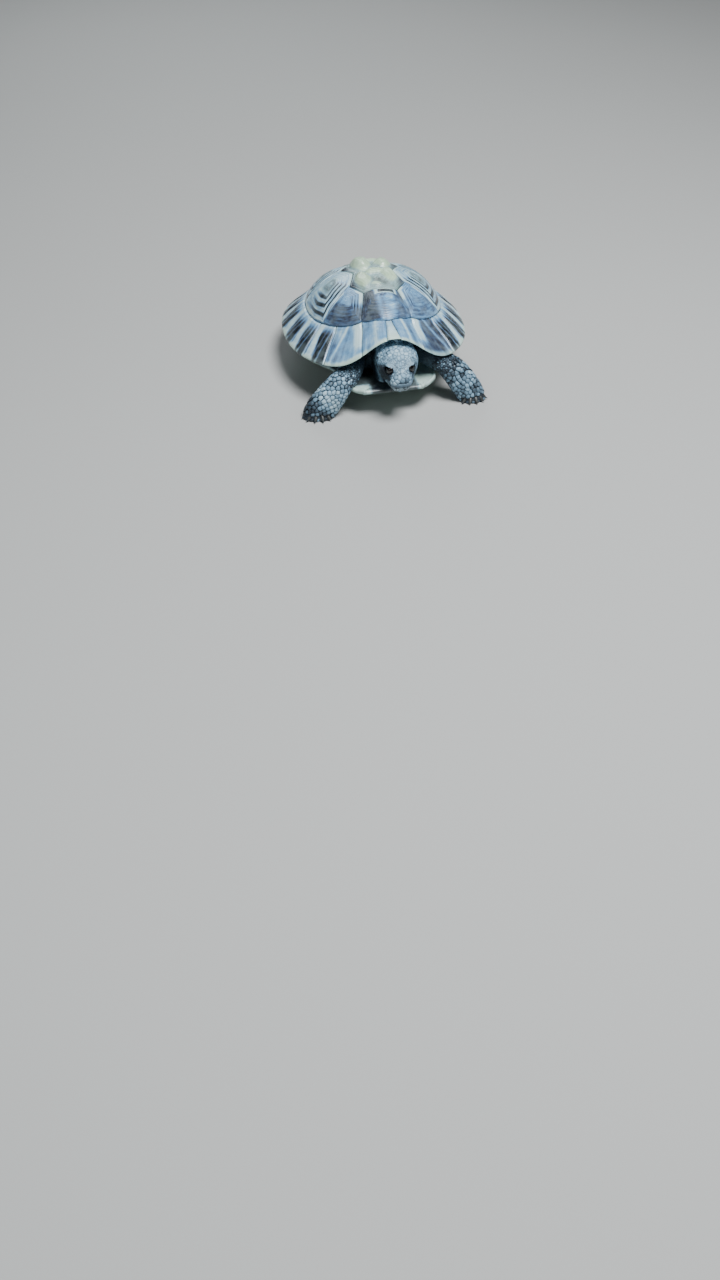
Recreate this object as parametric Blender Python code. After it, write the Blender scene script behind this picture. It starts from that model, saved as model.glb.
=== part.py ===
"""A young tortoise standing on its four feet, in metres, +Z up, facing -Y with its left side at +X.

The shell is drawn on an unrolled disc: a point (u, v) of it lies at the radius rho = |(u, v)|, which is 0 at
the crown and 1 on the rim, and at the angle theta, 0 at the nuchal and positive towards the animal's left.
Every scute is an outline on that disc, lifted on to the dome and its flared brim.
"""

import math

import bmesh
import bpy
from mathutils import Matrix, Vector

# Shell, in its own level frame before it is tilted nose up
SHELL_WIDTH = 0.098
SHELL_LENGTH = 0.1118
CROWN_HEIGHT = 0.0485
RIM_HEIGHT = 0.0191
NUCHAL_HEIGHT = 0.0369
NUCHAL_ARCH_ANGLE = math.radians(21.2)
FRONT_RISE = 0.0029
NOTCH_DEPTH = 0.045
NOTCH_ANGLE = math.radians(20.0)
NOTCH_START = 0.4
SQUARENESS = 0.883
FRONT_TAPER = 0.05
DOME_RHO = 0.75
DOME_SIDE = 0.729
DOME_FRONT = 0.701
DOME_ANGLE = math.radians(71.3)
BRIM_RISE = 0.3865
RIM_FOLLOW = 0.55
TILT = math.radians(4.0)
TILT_PIVOT = Vector((0.0, 0.030, 0.018))
NORMAL_STEP = 0.004
SECTORS = 32

# Scutes
PLATE_THICKNESS = 0.0022
RIM_THICKNESS = 0.0012
THIN_RHO = 0.86
SEAM_INSET = 0.0040
MITRE_LIMIT = 0.45
MARGINAL_INNER = [math.radians(a) for a in (1.6, 22, 47, 65, 81, 96, 110, 123, 136, 148, 159, 170, 180)]
MARGINAL_RIM = [math.radians(a) for a in (3.2, 18, 44, 63, 80, 95, 109, 122, 135, 147, 159, 171, 180)]
MARGINAL_GROWTH_RHO = 0.88
BORDER = [(0, 0.765), (22, 0.645), (35, 0.670), (50, 0.700), (70, 0.730), (90, 0.745), (180, 0.750)]
BORDER_STEP = math.radians(9.0)
VERTEBRAL_SEAMS = (-0.27, 0.03, 0.30, 0.52)
VERTEBRAL_SEAM_HALF = (0.145, 0.165, 0.150, 0.115)
VERTEBRAL_CORNERS = ((0.245, -0.130), (0.255, 0.160), (0.215, 0.410))
VERTEBRAL_GROWTHS = (-0.34, -0.11, 0.18, 0.42, 0.60)
COSTAL_ANGLES = [math.radians(a) for a in (22.0, 62.0, 97.0, 130.0, 160.0)]
COSTAL_GROWTHS = ((0.30, -0.27), (0.37, 0.00), (0.35, 0.26), (0.26, 0.47))

# Relief of the scutes: share of the outline, lift; and the further lift of the growth centre
MARGINAL_RELIEF = ((1.0, -0.0006), (0.80, 0.0000))
COSTAL_RELIEF = ((1.0, -0.0007), (0.84, -0.0001), (0.45, 0.0004))
KNOB_RELIEFS = {
    1: ((1.0, -0.0006), (0.82, 0.0006), (0.48, 0.0029)),
    2: ((1.0, -0.0006), (0.82, 0.0010), (0.45, 0.0044)),
    3: ((1.0, -0.0006), (0.82, 0.0004), (0.48, 0.0024)),
}
CENTRE_LIFT = 0.0002

# Clearance between pieces that touch
GAP = 0.0003

# Head: origin at the back of the crown, s forwards, heights above its axis
HEAD_ORIGIN = Vector((0.0021, -0.0390, 0.0299))
HEAD_YAW = math.radians(0.5)
HEAD_PITCH = math.radians(12.5)
EYE_RADIUS = 0.0024
EYE_PLACE = (0.0048, 0.0181, 0.0034)
EYE_SEGMENTS = (14, 9)
HEAD_SIDES = 20
CROWN_POWER = 0.72
JAW_POWER = 0.85
CHEEK_POWER = 0.80
JAW_NARROWING = 0.10

# Head sections: distance forwards, half width, top, bottom
HEAD_SECTIONS = (
    (0.0022, 0.0094, 0.0085, -0.0072),
    (0.0050, 0.0104, 0.0096, -0.0078),
    (0.0085, 0.0110, 0.0099, -0.0081),
    (0.0120, 0.0108, 0.0094, -0.0083),
    (0.0148, 0.0098, 0.0085, -0.0082),
    (0.0172, 0.0083, 0.0073, -0.0078),
    (0.0198, 0.0070, 0.0058, -0.0074),
    (0.0222, 0.0062, 0.0044, -0.0070),
    (0.0240, 0.0056, 0.0033, -0.0064),
    (0.0251, 0.0047, 0.0024, -0.0056),
    (0.0256, 0.0032, 0.0014, -0.0044),
)
MOUTH_LINE = ((0.0300, -0.0024), (0.0246, -0.0024), (0.0222, -0.0019), (0.0185, -0.0029), (0.0130, -0.0027))
MOUTH_BACK = 0.0125
JAW_BLOCK_HALF_WIDTH = 0.013
JAW_BLOCK_BOTTOM = -0.012
JAW_BLOCK_FRONT = 0.030

# Plastron: place along the body, half width; the bridges are the wide stretch
PLASTRON_BOTTOM = 0.0075
PLASTRON_THICKNESS = 0.0026
PLASTRON_COLUMNS = 13
PLASTRON_STATIONS = (
    (-0.0533, 0.0140), (-0.0518, 0.0175), (-0.0480, 0.0215), (-0.0440, 0.0243), (-0.0380, 0.0250),
    (-0.0290, 0.0250), (-0.0225, 0.0290), (-0.0190, 0.0385), (-0.0110, 0.0438), (0.0050, 0.0450),
    (0.0160, 0.0425), (0.0200, 0.0310), (0.0270, 0.0225), (0.0380, 0.0210), (0.0440, 0.0172),
    (0.0492, 0.0100),
)
BRIDGE_START = 0.027
BRIDGE_LIFT = 0.0083
BRIDGE_POWER = 1.15
ANAL_NOTCH = 0.0030

# Trunk inside the shell
TRUNK_LIFT = -0.0041
TRUNK_FRONT = -0.0330
TRUNK_REAR = 0.0340
TRUNK_RHO = (0.20, 0.40, 0.58, 0.75, 0.86)
TRUNK_SOLE_RHO = 0.70
TRUNK_SOLE_WIDTH = 0.64

# Space of the shell, cut from the soft parts under it
ENVELOPE_RHO = (0.2, 0.4, 0.6, 0.75, 0.88, 1.04)
ENVELOPE_HEIGHT = 0.008

# Limb and tail stations: centre x, y, z, half width, half thickness, in millimetres
FORE_RIGHT = ((-15.6, -31.5, 23.6, 6.2, 6.5), (-18.2, -38.4, 21.8, 6.3, 6.4), (-22.0, -43.6, 19.9, 6.2, 6.1),
              (-26.0, -46.6, 17.6, 6.5, 5.7), (-30.0, -47.5, 13.0, 7.3, 5.2), (-33.4, -47.5, 8.4, 7.9, 5.0),
              (-36.1, -47.2, 4.6, 8.3, 5.2), (-37.4, -47.0, 1.6, 8.6, 5.6), (-37.6, -47.0, -1.5, 8.4, 5.4))
FORE_LEFT = ((18.0, -31.5, 23.8, 6.2, 6.5), (22.4, -36.6, 22.8, 6.3, 6.3), (26.4, -40.2, 21.8, 6.3, 6.2),
             (30.2, -42.4, 19.8, 6.5, 6.0), (34.4, -44.0, 15.6, 6.9, 5.5), (38.2, -45.0, 10.4, 7.2, 5.1),
             (41.4, -45.4, 5.6, 7.1, 5.1), (43.4, -45.5, 1.8, 7.2, 5.4), (43.7, -45.5, -1.5, 7.0, 5.2))
HIND_LEFT = ((24.5, 33.0, 17.0, 7.8, 7.8), (29.0, 37.2, 14.4, 7.8, 7.6), (33.2, 40.4, 10.4, 7.3, 7.2),
             (35.6, 42.0, 6.0, 7.0, 7.0), (36.2, 42.5, 1.6, 7.4, 7.4), (36.2, 42.5, -1.5, 7.2, 7.2))
HIND_RIGHT = ((-24.5, 33.0, 17.0, 7.8, 7.8), (-28.6, 38.2, 14.2, 7.8, 7.6), (-32.2, 42.6, 10.2, 7.3, 7.2),
              (-34.4, 45.2, 6.0, 7.0, 7.0), (-35.0, 46.0, 1.6, 7.4, 7.4), (-35.0, 46.0, -1.5, 7.2, 7.2))
TAIL = ((0.0, 33.0, 15.8, 5.0, 5.0), (-0.5, 41.0, 14.2, 4.2, 4.0), (-1.6, 47.5, 11.4, 3.2, 3.0),
        (-2.8, 53.0, 7.8, 2.1, 1.9), (-3.8, 57.0, 5.4, 0.9, 0.9))
NECK = ((1.6, -31.0, 27.2, 10.2, 10.6), (2.0, -36.6, 28.4, 11.0, 11.2))
THROAT = ((2.0, -34.5, 20.0, 10.4, 4.6), (2.0, -40.0, 18.3, 11.0, 2.6), (2.0, -44.5, 17.6, 10.8, 1.7),
          (2.0, -47.8, 17.4, 9.6, 1.3), (2.0, -49.6, 17.3, 7.6, 0.8))
LIMB_SIDES = 14
LIMB_POWER = 0.85
FORE_CUTS = (3, 5)
HIND_CUTS = (2, 3)
CLAW_SIDES = 7
CLAW_RADIUS = 0.0016
CLAW_TIP = 0.0006
CLAW_LENGTH = 0.0050
CLAW_ROOT_SHARE = 0.66
CLAW_ROOT_HEIGHT = 0.0021
CLAW_TIP_DROP = 0.0012
FORE_CLAW_FAN = (-54.0, -27.0, 0.0, 27.0, 52.0)
HIND_CLAW_FAN = (-42.0, -14.0, 14.0, 42.0)

# The middle of the model's footprint, brought to the origin
FOOTPRINT_MIDDLE = Vector((0.00194, -0.00344, 0.0))

HORN_PALE = (0.62, 0.66, 0.60)
SKIN_GREY = (0.34, 0.41, 0.48)
EYE_BLACK = (0.01, 0.01, 0.012)


def clear_scene():
    """Remove what the scene holds before the model is built."""
    for item in list(bpy.data.objects):
        bpy.data.objects.remove(item, do_unlink=True)


def material(name, colour, roughness):
    """Return a Principled material of one colour."""
    made = bpy.data.materials.new(name)
    made.use_nodes = True
    shader = made.node_tree.nodes["Principled BSDF"]
    shader.inputs["Base Color"].default_value = (*colour, 1.0)
    shader.inputs["Roughness"].default_value = roughness
    shader.inputs["Metallic"].default_value = 0.0
    return made


def signed_power(value, power):
    """Raise the size of a value to a power and keep its sign."""
    return math.copysign(abs(value) ** power, value)


def tilt(point):
    """Turn a point of the level shell nose up into its place over the floor."""
    offset = point - TILT_PIVOT
    across = offset.y * math.cos(TILT) + offset.z * math.sin(TILT)
    up = -offset.y * math.sin(TILT) + offset.z * math.cos(TILT)
    return TILT_PIVOT + Vector((offset.x, across, up))


def level_shell_point(u, v):
    """Return the point of the level shell over the disc's point (u, v)."""
    rho = math.hypot(u, v)
    theta = math.atan2(u, -v)
    bell = math.exp(-((theta / NUCHAL_ARCH_ANGLE) ** 2))
    towards_rim = max((rho - NOTCH_START) / (1 - NOTCH_START), 0.0)
    notch = NOTCH_DEPTH * math.exp(-((theta / NOTCH_ANGLE) ** 2)) * towards_rim
    rim_x = SHELL_WIDTH / 2 * signed_power(math.sin(theta), SQUARENESS) * (1 - FRONT_TAPER * math.cos(theta))
    rim_y = -SHELL_LENGTH / 2 * signed_power(math.cos(theta), SQUARENESS) * (1 - notch)
    front = FRONT_RISE * max(math.cos(theta), 0.0) ** 1.5
    rim_z = RIM_HEIGHT + front + (NUCHAL_HEIGHT - FRONT_RISE - RIM_HEIGHT) * bell
    dome = DOME_SIDE + (DOME_FRONT - DOME_SIDE) * math.cos(theta) ** 2
    border_z = RIM_HEIGHT + BRIM_RISE * (CROWN_HEIGHT - RIM_HEIGHT) + RIM_FOLLOW * (rim_z - RIM_HEIGHT)
    if rho <= DOME_RHO:
        turn = rho / DOME_RHO * DOME_ANGLE
        reach = dome * math.sin(turn) / math.sin(DOME_ANGLE)
        lift = (math.cos(turn) - math.cos(DOME_ANGLE)) / (1 - math.cos(DOME_ANGLE))
        height = border_z + (CROWN_HEIGHT - border_z) * lift
    else:
        along = (rho - DOME_RHO) / (1 - DOME_RHO)
        reach = dome + (1 - dome) * along
        height = border_z + (rim_z - border_z) * along
    return Vector((rim_x * reach, rim_y * reach, height))


def shell_point(u, v, lift=0.0):
    """Return the tilted shell's point at (u, v), raised by lift along the outward normal."""
    centre = tilt(level_shell_point(u, v))
    along_u = tilt(level_shell_point(u + NORMAL_STEP, v)) - tilt(level_shell_point(u - NORMAL_STEP, v))
    along_v = tilt(level_shell_point(u, v + NORMAL_STEP)) - tilt(level_shell_point(u, v - NORMAL_STEP))
    return centre + along_u.cross(along_v).normalized() * lift


def under_shell(u, v):
    """Return the point of the plates' under face at (u, v); the plates thin towards the rim."""
    thin = min(max((math.hypot(u, v) - THIN_RHO) / (1 - THIN_RHO), 0.0), 1.0)
    return shell_point(u, v, -(PLATE_THICKNESS + (RIM_THICKNESS - PLATE_THICKNESS) * thin))


def polar(theta, rho):
    """Return the disc's point at an angle and a radius."""
    return Vector((rho * math.sin(theta), -rho * math.cos(theta)))


def border_rho(theta):
    """Return the radius of the seam between the marginals and the inner scutes."""
    angle = abs(math.degrees(theta))
    for (a0, r0), (a1, r1) in zip(BORDER, BORDER[1:]):
        if angle <= a1:
            return r0 + (r1 - r0) * (angle - a0) / (a1 - a0)
    return BORDER[-1][1]


def border_angles():
    """Return the angles at which the border seam is drawn, shared by the scutes on both its sides."""
    joints = sorted(set(MARGINAL_INNER + COSTAL_ANGLES + [0.0]))
    angles = []
    for start, end in zip(joints, joints[1:]):
        steps = max(1, round((end - start) / BORDER_STEP))
        angles += [start + (end - start) * i / steps for i in range(steps)]
    return angles + [joints[-1]]


def border_arc(start, end):
    """Return the border seam's points from one angle to another, both included."""
    low, high = min(start, end), max(start, end)
    points = [polar(a, border_rho(a)) for a in border_angles() if low - 1e-6 <= a <= high + 1e-6]
    return points if start < end else points[::-1]


def rim_arc(start, end, steps):
    """Return points of the rim from one angle to another, both included."""
    return [polar(start + (end - start) * i / steps, 1.0) for i in range(steps + 1)]


def seam(start, end, steps):
    """Return points of a straight seam on the disc, the last one left out."""
    return [start.lerp(end, i / steps) for i in range(steps)]


def inset_outline(points, amount):
    """Return a closed outline drawn inwards by an amount, with mitred corners."""
    area = sum(a.x * b.y - b.x * a.y for a, b in zip(points, points[1:] + points[:1]))
    if area < 0:
        points = points[::-1]
    result = []
    for before, here, after in zip(points[-1:] + points[:-1], points, points[1:] + points[:1]):
        edge_in = (here - before).normalized()
        edge_out = (after - here).normalized()
        normal_in = Vector((-edge_in.y, edge_in.x))
        normal_out = Vector((-edge_out.y, edge_out.x))
        bisector = (normal_in + normal_out).normalized()
        result.append(here + bisector * amount / max(bisector.dot(normal_in), MITRE_LIMIT))
    return result


def new_object(name, bm, finish, collection):
    """Put a bmesh in a named object with one material."""
    bmesh.ops.recalc_face_normals(bm, faces=bm.faces)
    mesh = bpy.data.meshes.new(name)
    bm.to_mesh(mesh)
    bm.free()
    mesh.materials.append(finish)
    made = bpy.data.objects.new(name, mesh)
    collection.objects.link(made)
    return made


def bridge_rings(bm, rings, close_start=True, close_end=True):
    """Skin closed rings of equal counts with quads and cap the ends."""
    loops = [[bm.verts.new(point) for point in ring] for ring in rings]
    count = len(loops[0])
    for lower, upper in zip(loops, loops[1:]):
        for i in range(count):
            j = (i + 1) % count
            bm.faces.new((lower[i], lower[j], upper[j], upper[i]))
    if close_start:
        bm.faces.new(loops[0][::-1])
    if close_end:
        bm.faces.new(loops[-1])
    return loops


def fan(bm, loop, centre):
    """Close a loop of vertices with a fan about a centre."""
    hub = bm.verts.new(centre)
    for i, vertex in enumerate(loop):
        bm.faces.new((vertex, loop[(i + 1) % len(loop)], hub))


def scute(name, outline, relief, growth, finish, collection):
    """Build one horn plate: a stepped top that rises to its growth centre, sides and an under face.

    relief lists (share of the outline, lift) from the edge inwards, growth is the centre's disc point.
    """
    edge = inset_outline(outline, SEAM_INSET)
    bm = bmesh.new()
    hub = Vector(growth)
    top = [[hub + (p - hub) * share for p in edge] for share, _ in relief]
    rings = [[under_shell(p.x, p.y) for p in edge]]
    rings += [[shell_point(p.x, p.y, lift) for p in ring] for ring, (_, lift) in zip(top, relief)]
    loops = bridge_rings(bm, rings, close_start=False, close_end=False)
    middle = sum(edge, Vector((0.0, 0.0))) / len(edge)
    fan(bm, loops[0], under_shell(middle.x, middle.y))
    fan(bm, loops[-1], shell_point(hub.x, hub.y, relief[-1][1] + CENTRE_LIFT))
    return new_object(name, bm, finish, collection)


def mirror_outline(points):
    """Return an outline reflected to the other side of the animal."""
    return [Vector((-p.x, p.y)) for p in points]


def scute_pair(label, outline, relief, growth, finish, collection):
    """Build a scute on the left side and its mirror image on the right."""
    scute(label.format("left"), outline, relief, growth, finish, collection)
    scute(label.format("right"), mirror_outline(outline), relief, (-growth.x, growth.y), finish, collection)


def build_marginals(finish, collection):
    """Build the nuchal, eleven marginals on each side and the two supracaudals."""
    inner = border_arc(0.0, MARGINAL_INNER[0])
    outline = rim_arc(-MARGINAL_RIM[0], MARGINAL_RIM[0], 2) + inner[::-1] + mirror_outline(inner[1:])
    scute("shell_nuchal", outline, MARGINAL_RELIEF, polar(0.0, MARGINAL_GROWTH_RHO), finish, collection)
    for i in range(12):
        outline = rim_arc(MARGINAL_RIM[i], MARGINAL_RIM[i + 1], 3)
        outline += border_arc(MARGINAL_INNER[i + 1], MARGINAL_INNER[i])
        growth = polar((MARGINAL_RIM[i] + MARGINAL_RIM[i + 1]) / 2, MARGINAL_GROWTH_RHO)
        label = f"shell_marginal_{{}}_{i + 1:02d}" if i < 11 else "shell_supracaudal_{}"
        scute_pair(label, outline, MARGINAL_RELIEF, growth, finish, collection)


def vertebral_side(index):
    """Return the left corners of one vertebral scute, front to rear."""
    front_corner = polar(MARGINAL_INNER[1], border_rho(MARGINAL_INNER[1]))
    rear_corner = polar(COSTAL_ANGLES[4], border_rho(COSTAL_ANGLES[4]))
    seams = [Vector((half, v)) for half, v in zip(VERTEBRAL_SEAM_HALF, VERTEBRAL_SEAMS)]
    corners = [Vector(c) for c in VERTEBRAL_CORNERS]
    sides = ([front_corner, seams[0]], [seams[0], corners[0], seams[1]], [seams[1], corners[1], seams[2]],
             [seams[2], corners[2], seams[3]], [seams[3], rear_corner])
    return sides[index]


def run(corners, steps):
    """Return points along straight seams through corners, the last one included."""
    points = []
    for start, end in zip(corners, corners[1:]):
        points += seam(start, end, steps)
    return points + [corners[-1]]


def build_vertebrals(finish, collection):
    """Build the five scutes along the back; the second to fourth carry raised knobs."""
    for index in range(5):
        left = run(vertebral_side(index), 3 if index in (0, 4) else 2)
        if index == 0:
            left = border_arc(0.0, MARGINAL_INNER[1])[:-1] + left
        else:
            left.insert(0, Vector((0.0, VERTEBRAL_SEAMS[index - 1])))
        if index == 4:
            left += border_arc(COSTAL_ANGLES[4], math.pi)[1:]
        else:
            left.append(Vector((0.0, VERTEBRAL_SEAMS[index])))
        outline = left + mirror_outline(left[1:-1])[::-1]
        relief = KNOB_RELIEFS.get(index, COSTAL_RELIEF)
        growth = (0.0, VERTEBRAL_GROWTHS[index])
        scute(f"shell_vertebral_{index + 1}", outline, relief, growth, finish, collection)


def build_costals(finish, collection):
    """Build the four costals on each side, between the vertebrals and the marginals."""
    corners = [vertebral_side(i)[1] for i in (1, 2, 3)]
    for index in range(4):
        start, end = COSTAL_ANGLES[index], COSTAL_ANGLES[index + 1]
        outline = border_arc(start, end)
        if index < 3:
            outline += run([outline[-1], corners[index]], 3)[1:]
            outline += run([corners[index], vertebral_side(index)[-1]], 2)[1:]
        else:
            outline += run([outline[-1], vertebral_side(4)[0]], 3)[1:]
        if index:
            outline += run([vertebral_side(index)[-1], corners[index - 1]], 2)[1:]
            outline += run([corners[index - 1], outline[0]], 3)[1:-1]
        else:
            outline += run([vertebral_side(0)[-1], outline[0]], 3)[1:-1]
        label = f"shell_costal_{{}}_{index + 1}"
        scute_pair(label, outline, COSTAL_RELIEF, Vector(COSTAL_GROWTHS[index]), finish, collection)


def circle(rho):
    """Return points of the disc round one of its radii."""
    return [polar(2 * math.pi * i / SECTORS, rho) for i in range(SECTORS)]


def disc_ring(rho, lift):
    """Return a ring of the shell's surface at one radius of the disc."""
    return [shell_point(p.x, p.y, lift) for p in circle(rho)]


def keep_side(bm, place, normal):
    """Cut a closed bmesh with a plane, keep the side that the normal leaves and cap the cut."""
    geometry = bm.verts[:] + bm.edges[:] + bm.faces[:]
    bmesh.ops.bisect_plane(bm, geom=geometry, plane_co=place, plane_no=normal, clear_outer=True)
    bmesh.ops.holes_fill(bm, edges=[e for e in bm.edges if e.is_boundary], sides=0)


def add_boolean(target, other, operation):
    """Add an exact Boolean modifier."""
    modifier = target.modifiers.new(f"{operation.lower()}_{other.name}", "BOOLEAN")
    modifier.operation = operation
    modifier.solver = "EXACT"
    modifier.object = other


def as_cutter(item):
    """Mark an object as a construction solid that is not part of the model."""
    item.hide_render = True
    item.display_type = "WIRE"
    return item


def shell_envelope(finish, cutters):
    """Build the solid that the horn plates fill, with clearance, to trim what lies under them."""
    bm = bmesh.new()
    under = -(PLATE_THICKNESS + 2 * GAP)
    rings = [disc_ring(r, under) for r in ENVELOPE_RHO]
    rings += [disc_ring(r, ENVELOPE_HEIGHT) for r in reversed(ENVELOPE_RHO)]
    loops = bridge_rings(bm, rings, close_start=False, close_end=False)
    fan(bm, loops[0], shell_point(0.0, 0.0, under))
    fan(bm, loops[-1], shell_point(0.0, 0.0, ENVELOPE_HEIGHT))
    return as_cutter(new_object("cut_shell", bm, finish, cutters))


def build_trunk(finish, collection):
    """Build the body inside the shell, with flat faces where the limbs, neck and tail leave it."""
    bm = bmesh.new()
    rings = [disc_ring(r, TRUNK_LIFT) for r in TRUNK_RHO]
    floor = PLASTRON_BOTTOM + PLASTRON_THICKNESS + GAP
    sole = [level_shell_point(p.x, p.y) for p in circle(TRUNK_SOLE_RHO)]
    rings.append([tilt(Vector((p.x * TRUNK_SOLE_WIDTH, p.y, floor))) for p in sole])
    loops = bridge_rings(bm, rings, close_start=False)
    fan(bm, loops[0], shell_point(0.0, 0.0, TRUNK_LIFT))
    keep_side(bm, (0.0, TRUNK_FRONT, 0.0), (0.0, -1.0, 0.0))
    keep_side(bm, (0.0, TRUNK_REAR, 0.0), (0.0, 1.0, 0.0))
    return new_object("trunk", bm, finish, collection)


def plastron_height(x):
    """Return how far the under face rises at a distance from the midline, out to the bridges."""
    beyond = max(abs(x) - BRIDGE_START, 0.0) / (SHELL_WIDTH / 2 - BRIDGE_START)
    return BRIDGE_LIFT * beyond**BRIDGE_POWER


def plastron_bmesh(margin):
    """Return the plastron as a closed bmesh, grown by a margin."""
    bm = bmesh.new()
    rings = []
    for y, half in PLASTRON_STATIONS:
        notch = ANAL_NOTCH if y == PLASTRON_STATIONS[-1][0] else 0.0
        end = y + math.copysign(margin, y)
        under = []
        for i in range(PLASTRON_COLUMNS):
            x = (half + margin) * (2 * i / (PLASTRON_COLUMNS - 1) - 1)
            height = PLASTRON_BOTTOM + plastron_height(x) - margin
            under.append(Vector((x, end - notch * (1 - abs(x) / half) ** 2, height)))
        over = [p + Vector((0.0, 0.0, PLASTRON_THICKNESS + 2 * margin)) for p in reversed(under)]
        rings.append([tilt(p) for p in under + over])
    bridge_rings(bm, rings)
    return bm


def head_matrix():
    """Return the head's place: yawed to its right and nodded down."""
    turn = Matrix.Rotation(-HEAD_YAW, 4, "Z") @ Matrix.Rotation(HEAD_PITCH, 4, "X")
    return Matrix.Translation(HEAD_ORIGIN) @ turn


def head_ring(section):
    """Return one cross-section of the head: flat crown, full cheeks, narrower jaw."""
    forward, half, top, bottom = section
    ring = []
    for i in range(HEAD_SIDES):
        angle = 2 * math.pi * (i + 0.5) / HEAD_SIDES
        height = signed_power(math.sin(angle), CROWN_POWER if math.sin(angle) > 0 else JAW_POWER)
        jaw = 1 - JAW_NARROWING * max(-height, 0.0) ** 2
        x = half * signed_power(math.cos(angle), CHEEK_POWER) * jaw
        z = height * (top if height > 0 else -bottom)
        ring.append(head_matrix() @ Vector((x, -forward, z)))
    return ring


def head_bmesh():
    """Return the whole head as a closed bmesh."""
    bm = bmesh.new()
    bridge_rings(bm, [head_ring(s) for s in HEAD_SECTIONS])
    return bm


def jaw_cutter(name, margin, finish, cutters):
    """Build the block below the mouth line, grown by a margin."""
    line = [(s, z + margin) for s, z in MOUTH_LINE]
    back = MOUTH_BACK - margin
    profile = line + [(back, line[-1][1]), (back, JAW_BLOCK_BOTTOM), (JAW_BLOCK_FRONT, JAW_BLOCK_BOTTOM)]
    bm = bmesh.new()
    ends = (-JAW_BLOCK_HALF_WIDTH, JAW_BLOCK_HALF_WIDTH)
    sides = [[head_matrix() @ Vector((x, -s, z)) for s, z in profile] for x in ends]
    bridge_rings(bm, sides)
    return as_cutter(new_object(name, bm, finish, cutters))


def sphere(name, place, radius, finish, collection):
    """Build a ball."""
    bm = bmesh.new()
    around, down = EYE_SEGMENTS
    bmesh.ops.create_uvsphere(bm, u_segments=around, v_segments=down, radius=radius)
    bmesh.ops.translate(bm, verts=bm.verts, vec=place)
    return new_object(name, bm, finish, collection)


def build_head(skin, eye, collection, cutters):
    """Build the head with its lower jaw and eyes."""
    head = new_object("head", head_bmesh(), skin, collection)
    jaw = new_object("lower_jaw", head_bmesh(), skin, collection)
    add_boolean(head, jaw_cutter("cut_jaw_space", GAP, skin, cutters), "DIFFERENCE")
    add_boolean(jaw, jaw_cutter("cut_jaw", 0.0, skin, cutters), "INTERSECT")
    across, forward, height = EYE_PLACE
    for side, sign in (("left", 1), ("right", -1)):
        place = head_matrix() @ Vector((sign * across, -forward, height))
        sphere(f"eye_{side}", place, EYE_RADIUS, eye, collection)
        socket = sphere(f"cut_socket_{side}", place, EYE_RADIUS + GAP, skin, cutters)
        add_boolean(head, as_cutter(socket), "DIFFERENCE")


def section_ring(station, tangent, sides=LIMB_SIDES):
    """Return a rounded cross-section square to a tangent, its width as near the X axis as it can be."""
    centre = Vector(station[:3]) / 1000
    across = (Vector((1.0, 0.0, 0.0)) - tangent * tangent.x).normalized()
    through = tangent.cross(across)
    ring = []
    for i in range(sides):
        angle = 2 * math.pi * i / sides
        wide = signed_power(math.cos(angle), LIMB_POWER) * station[3] / 1000
        deep = signed_power(math.sin(angle), LIMB_POWER) * station[4] / 1000
        ring.append(centre + across * wide + through * deep)
    return ring


def tangents(stations):
    """Return the direction of a path of stations at each of them."""
    centres = [Vector(s[:3]) for s in stations]
    ahead = centres[1:] + centres[-1:]
    behind = centres[:1] + centres[:-1]
    return [(b - a).normalized() for a, b in zip(behind, ahead)]


def tube_bmesh(stations):
    """Return a limb, neck or tail as a closed bmesh along its stations."""
    bm = bmesh.new()
    bridge_rings(bm, [section_ring(s, t) for s, t in zip(stations, tangents(stations))])
    return bm


def claws(name, stations, fan_angles, heading, finish, cutters):
    """Build a foot's claws as one set of cones that spread from its front edge."""
    bm = bmesh.new()
    x, y, _, half_x, half_y = stations[-2]
    for angle in fan_angles:
        turn = math.radians(angle + heading)
        way = Vector((math.sin(turn), -math.cos(turn), 0.0))
        edge = Vector((way.x * half_x, way.y * half_y, 0.0)) / 1000
        root = Vector((x / 1000, y / 1000, CLAW_ROOT_HEIGHT)) + edge * CLAW_ROOT_SHARE
        aim = (way * CLAW_LENGTH - Vector((0.0, 0.0, CLAW_TIP_DROP))).normalized()
        turned = aim.to_track_quat("Z", "Y").to_matrix().to_4x4()
        place = Matrix.Translation(root + aim * CLAW_LENGTH / 2) @ turned
        bmesh.ops.create_cone(bm, cap_ends=True, segments=CLAW_SIDES, radius1=CLAW_RADIUS,
                              radius2=CLAW_TIP, depth=CLAW_LENGTH, matrix=place)
    return as_cutter(new_object(name, bm, finish, cutters))


def build_limb(prefix, names, stations, root_plane, cuts, claw_fan, heading, skin, groups, trims):
    """Build a limb as three solids parted by thin plane cuts, its foot with claws and a flat sole."""
    collection, cutters = groups
    directions = tangents(stations)
    planes = [(Vector(stations[i][:3]) / 1000, directions[i]) for i in cuts]
    foot = None
    for index, name in enumerate(names):
        bm = tube_bmesh(stations)
        keep_side(bm, *root_plane)
        keep_side(bm, (0.0, 0.0, 0.0), (0.0, 0.0, -1.0))
        if index > 0:
            place, way = planes[index - 1]
            keep_side(bm, place + way * GAP / 2, -way)
        if index < 2:
            place, way = planes[index]
            keep_side(bm, place - way * GAP / 2, way)
        foot = new_object(f"{prefix}_{name}", bm, skin, collection)
        for trim in trims:
            add_boolean(foot, trim, "DIFFERENCE")
    claw_set = claws(f"claws_{prefix}", stations, claw_fan, heading, skin, cutters)
    add_boolean(foot, claw_set, "UNION")


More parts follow.
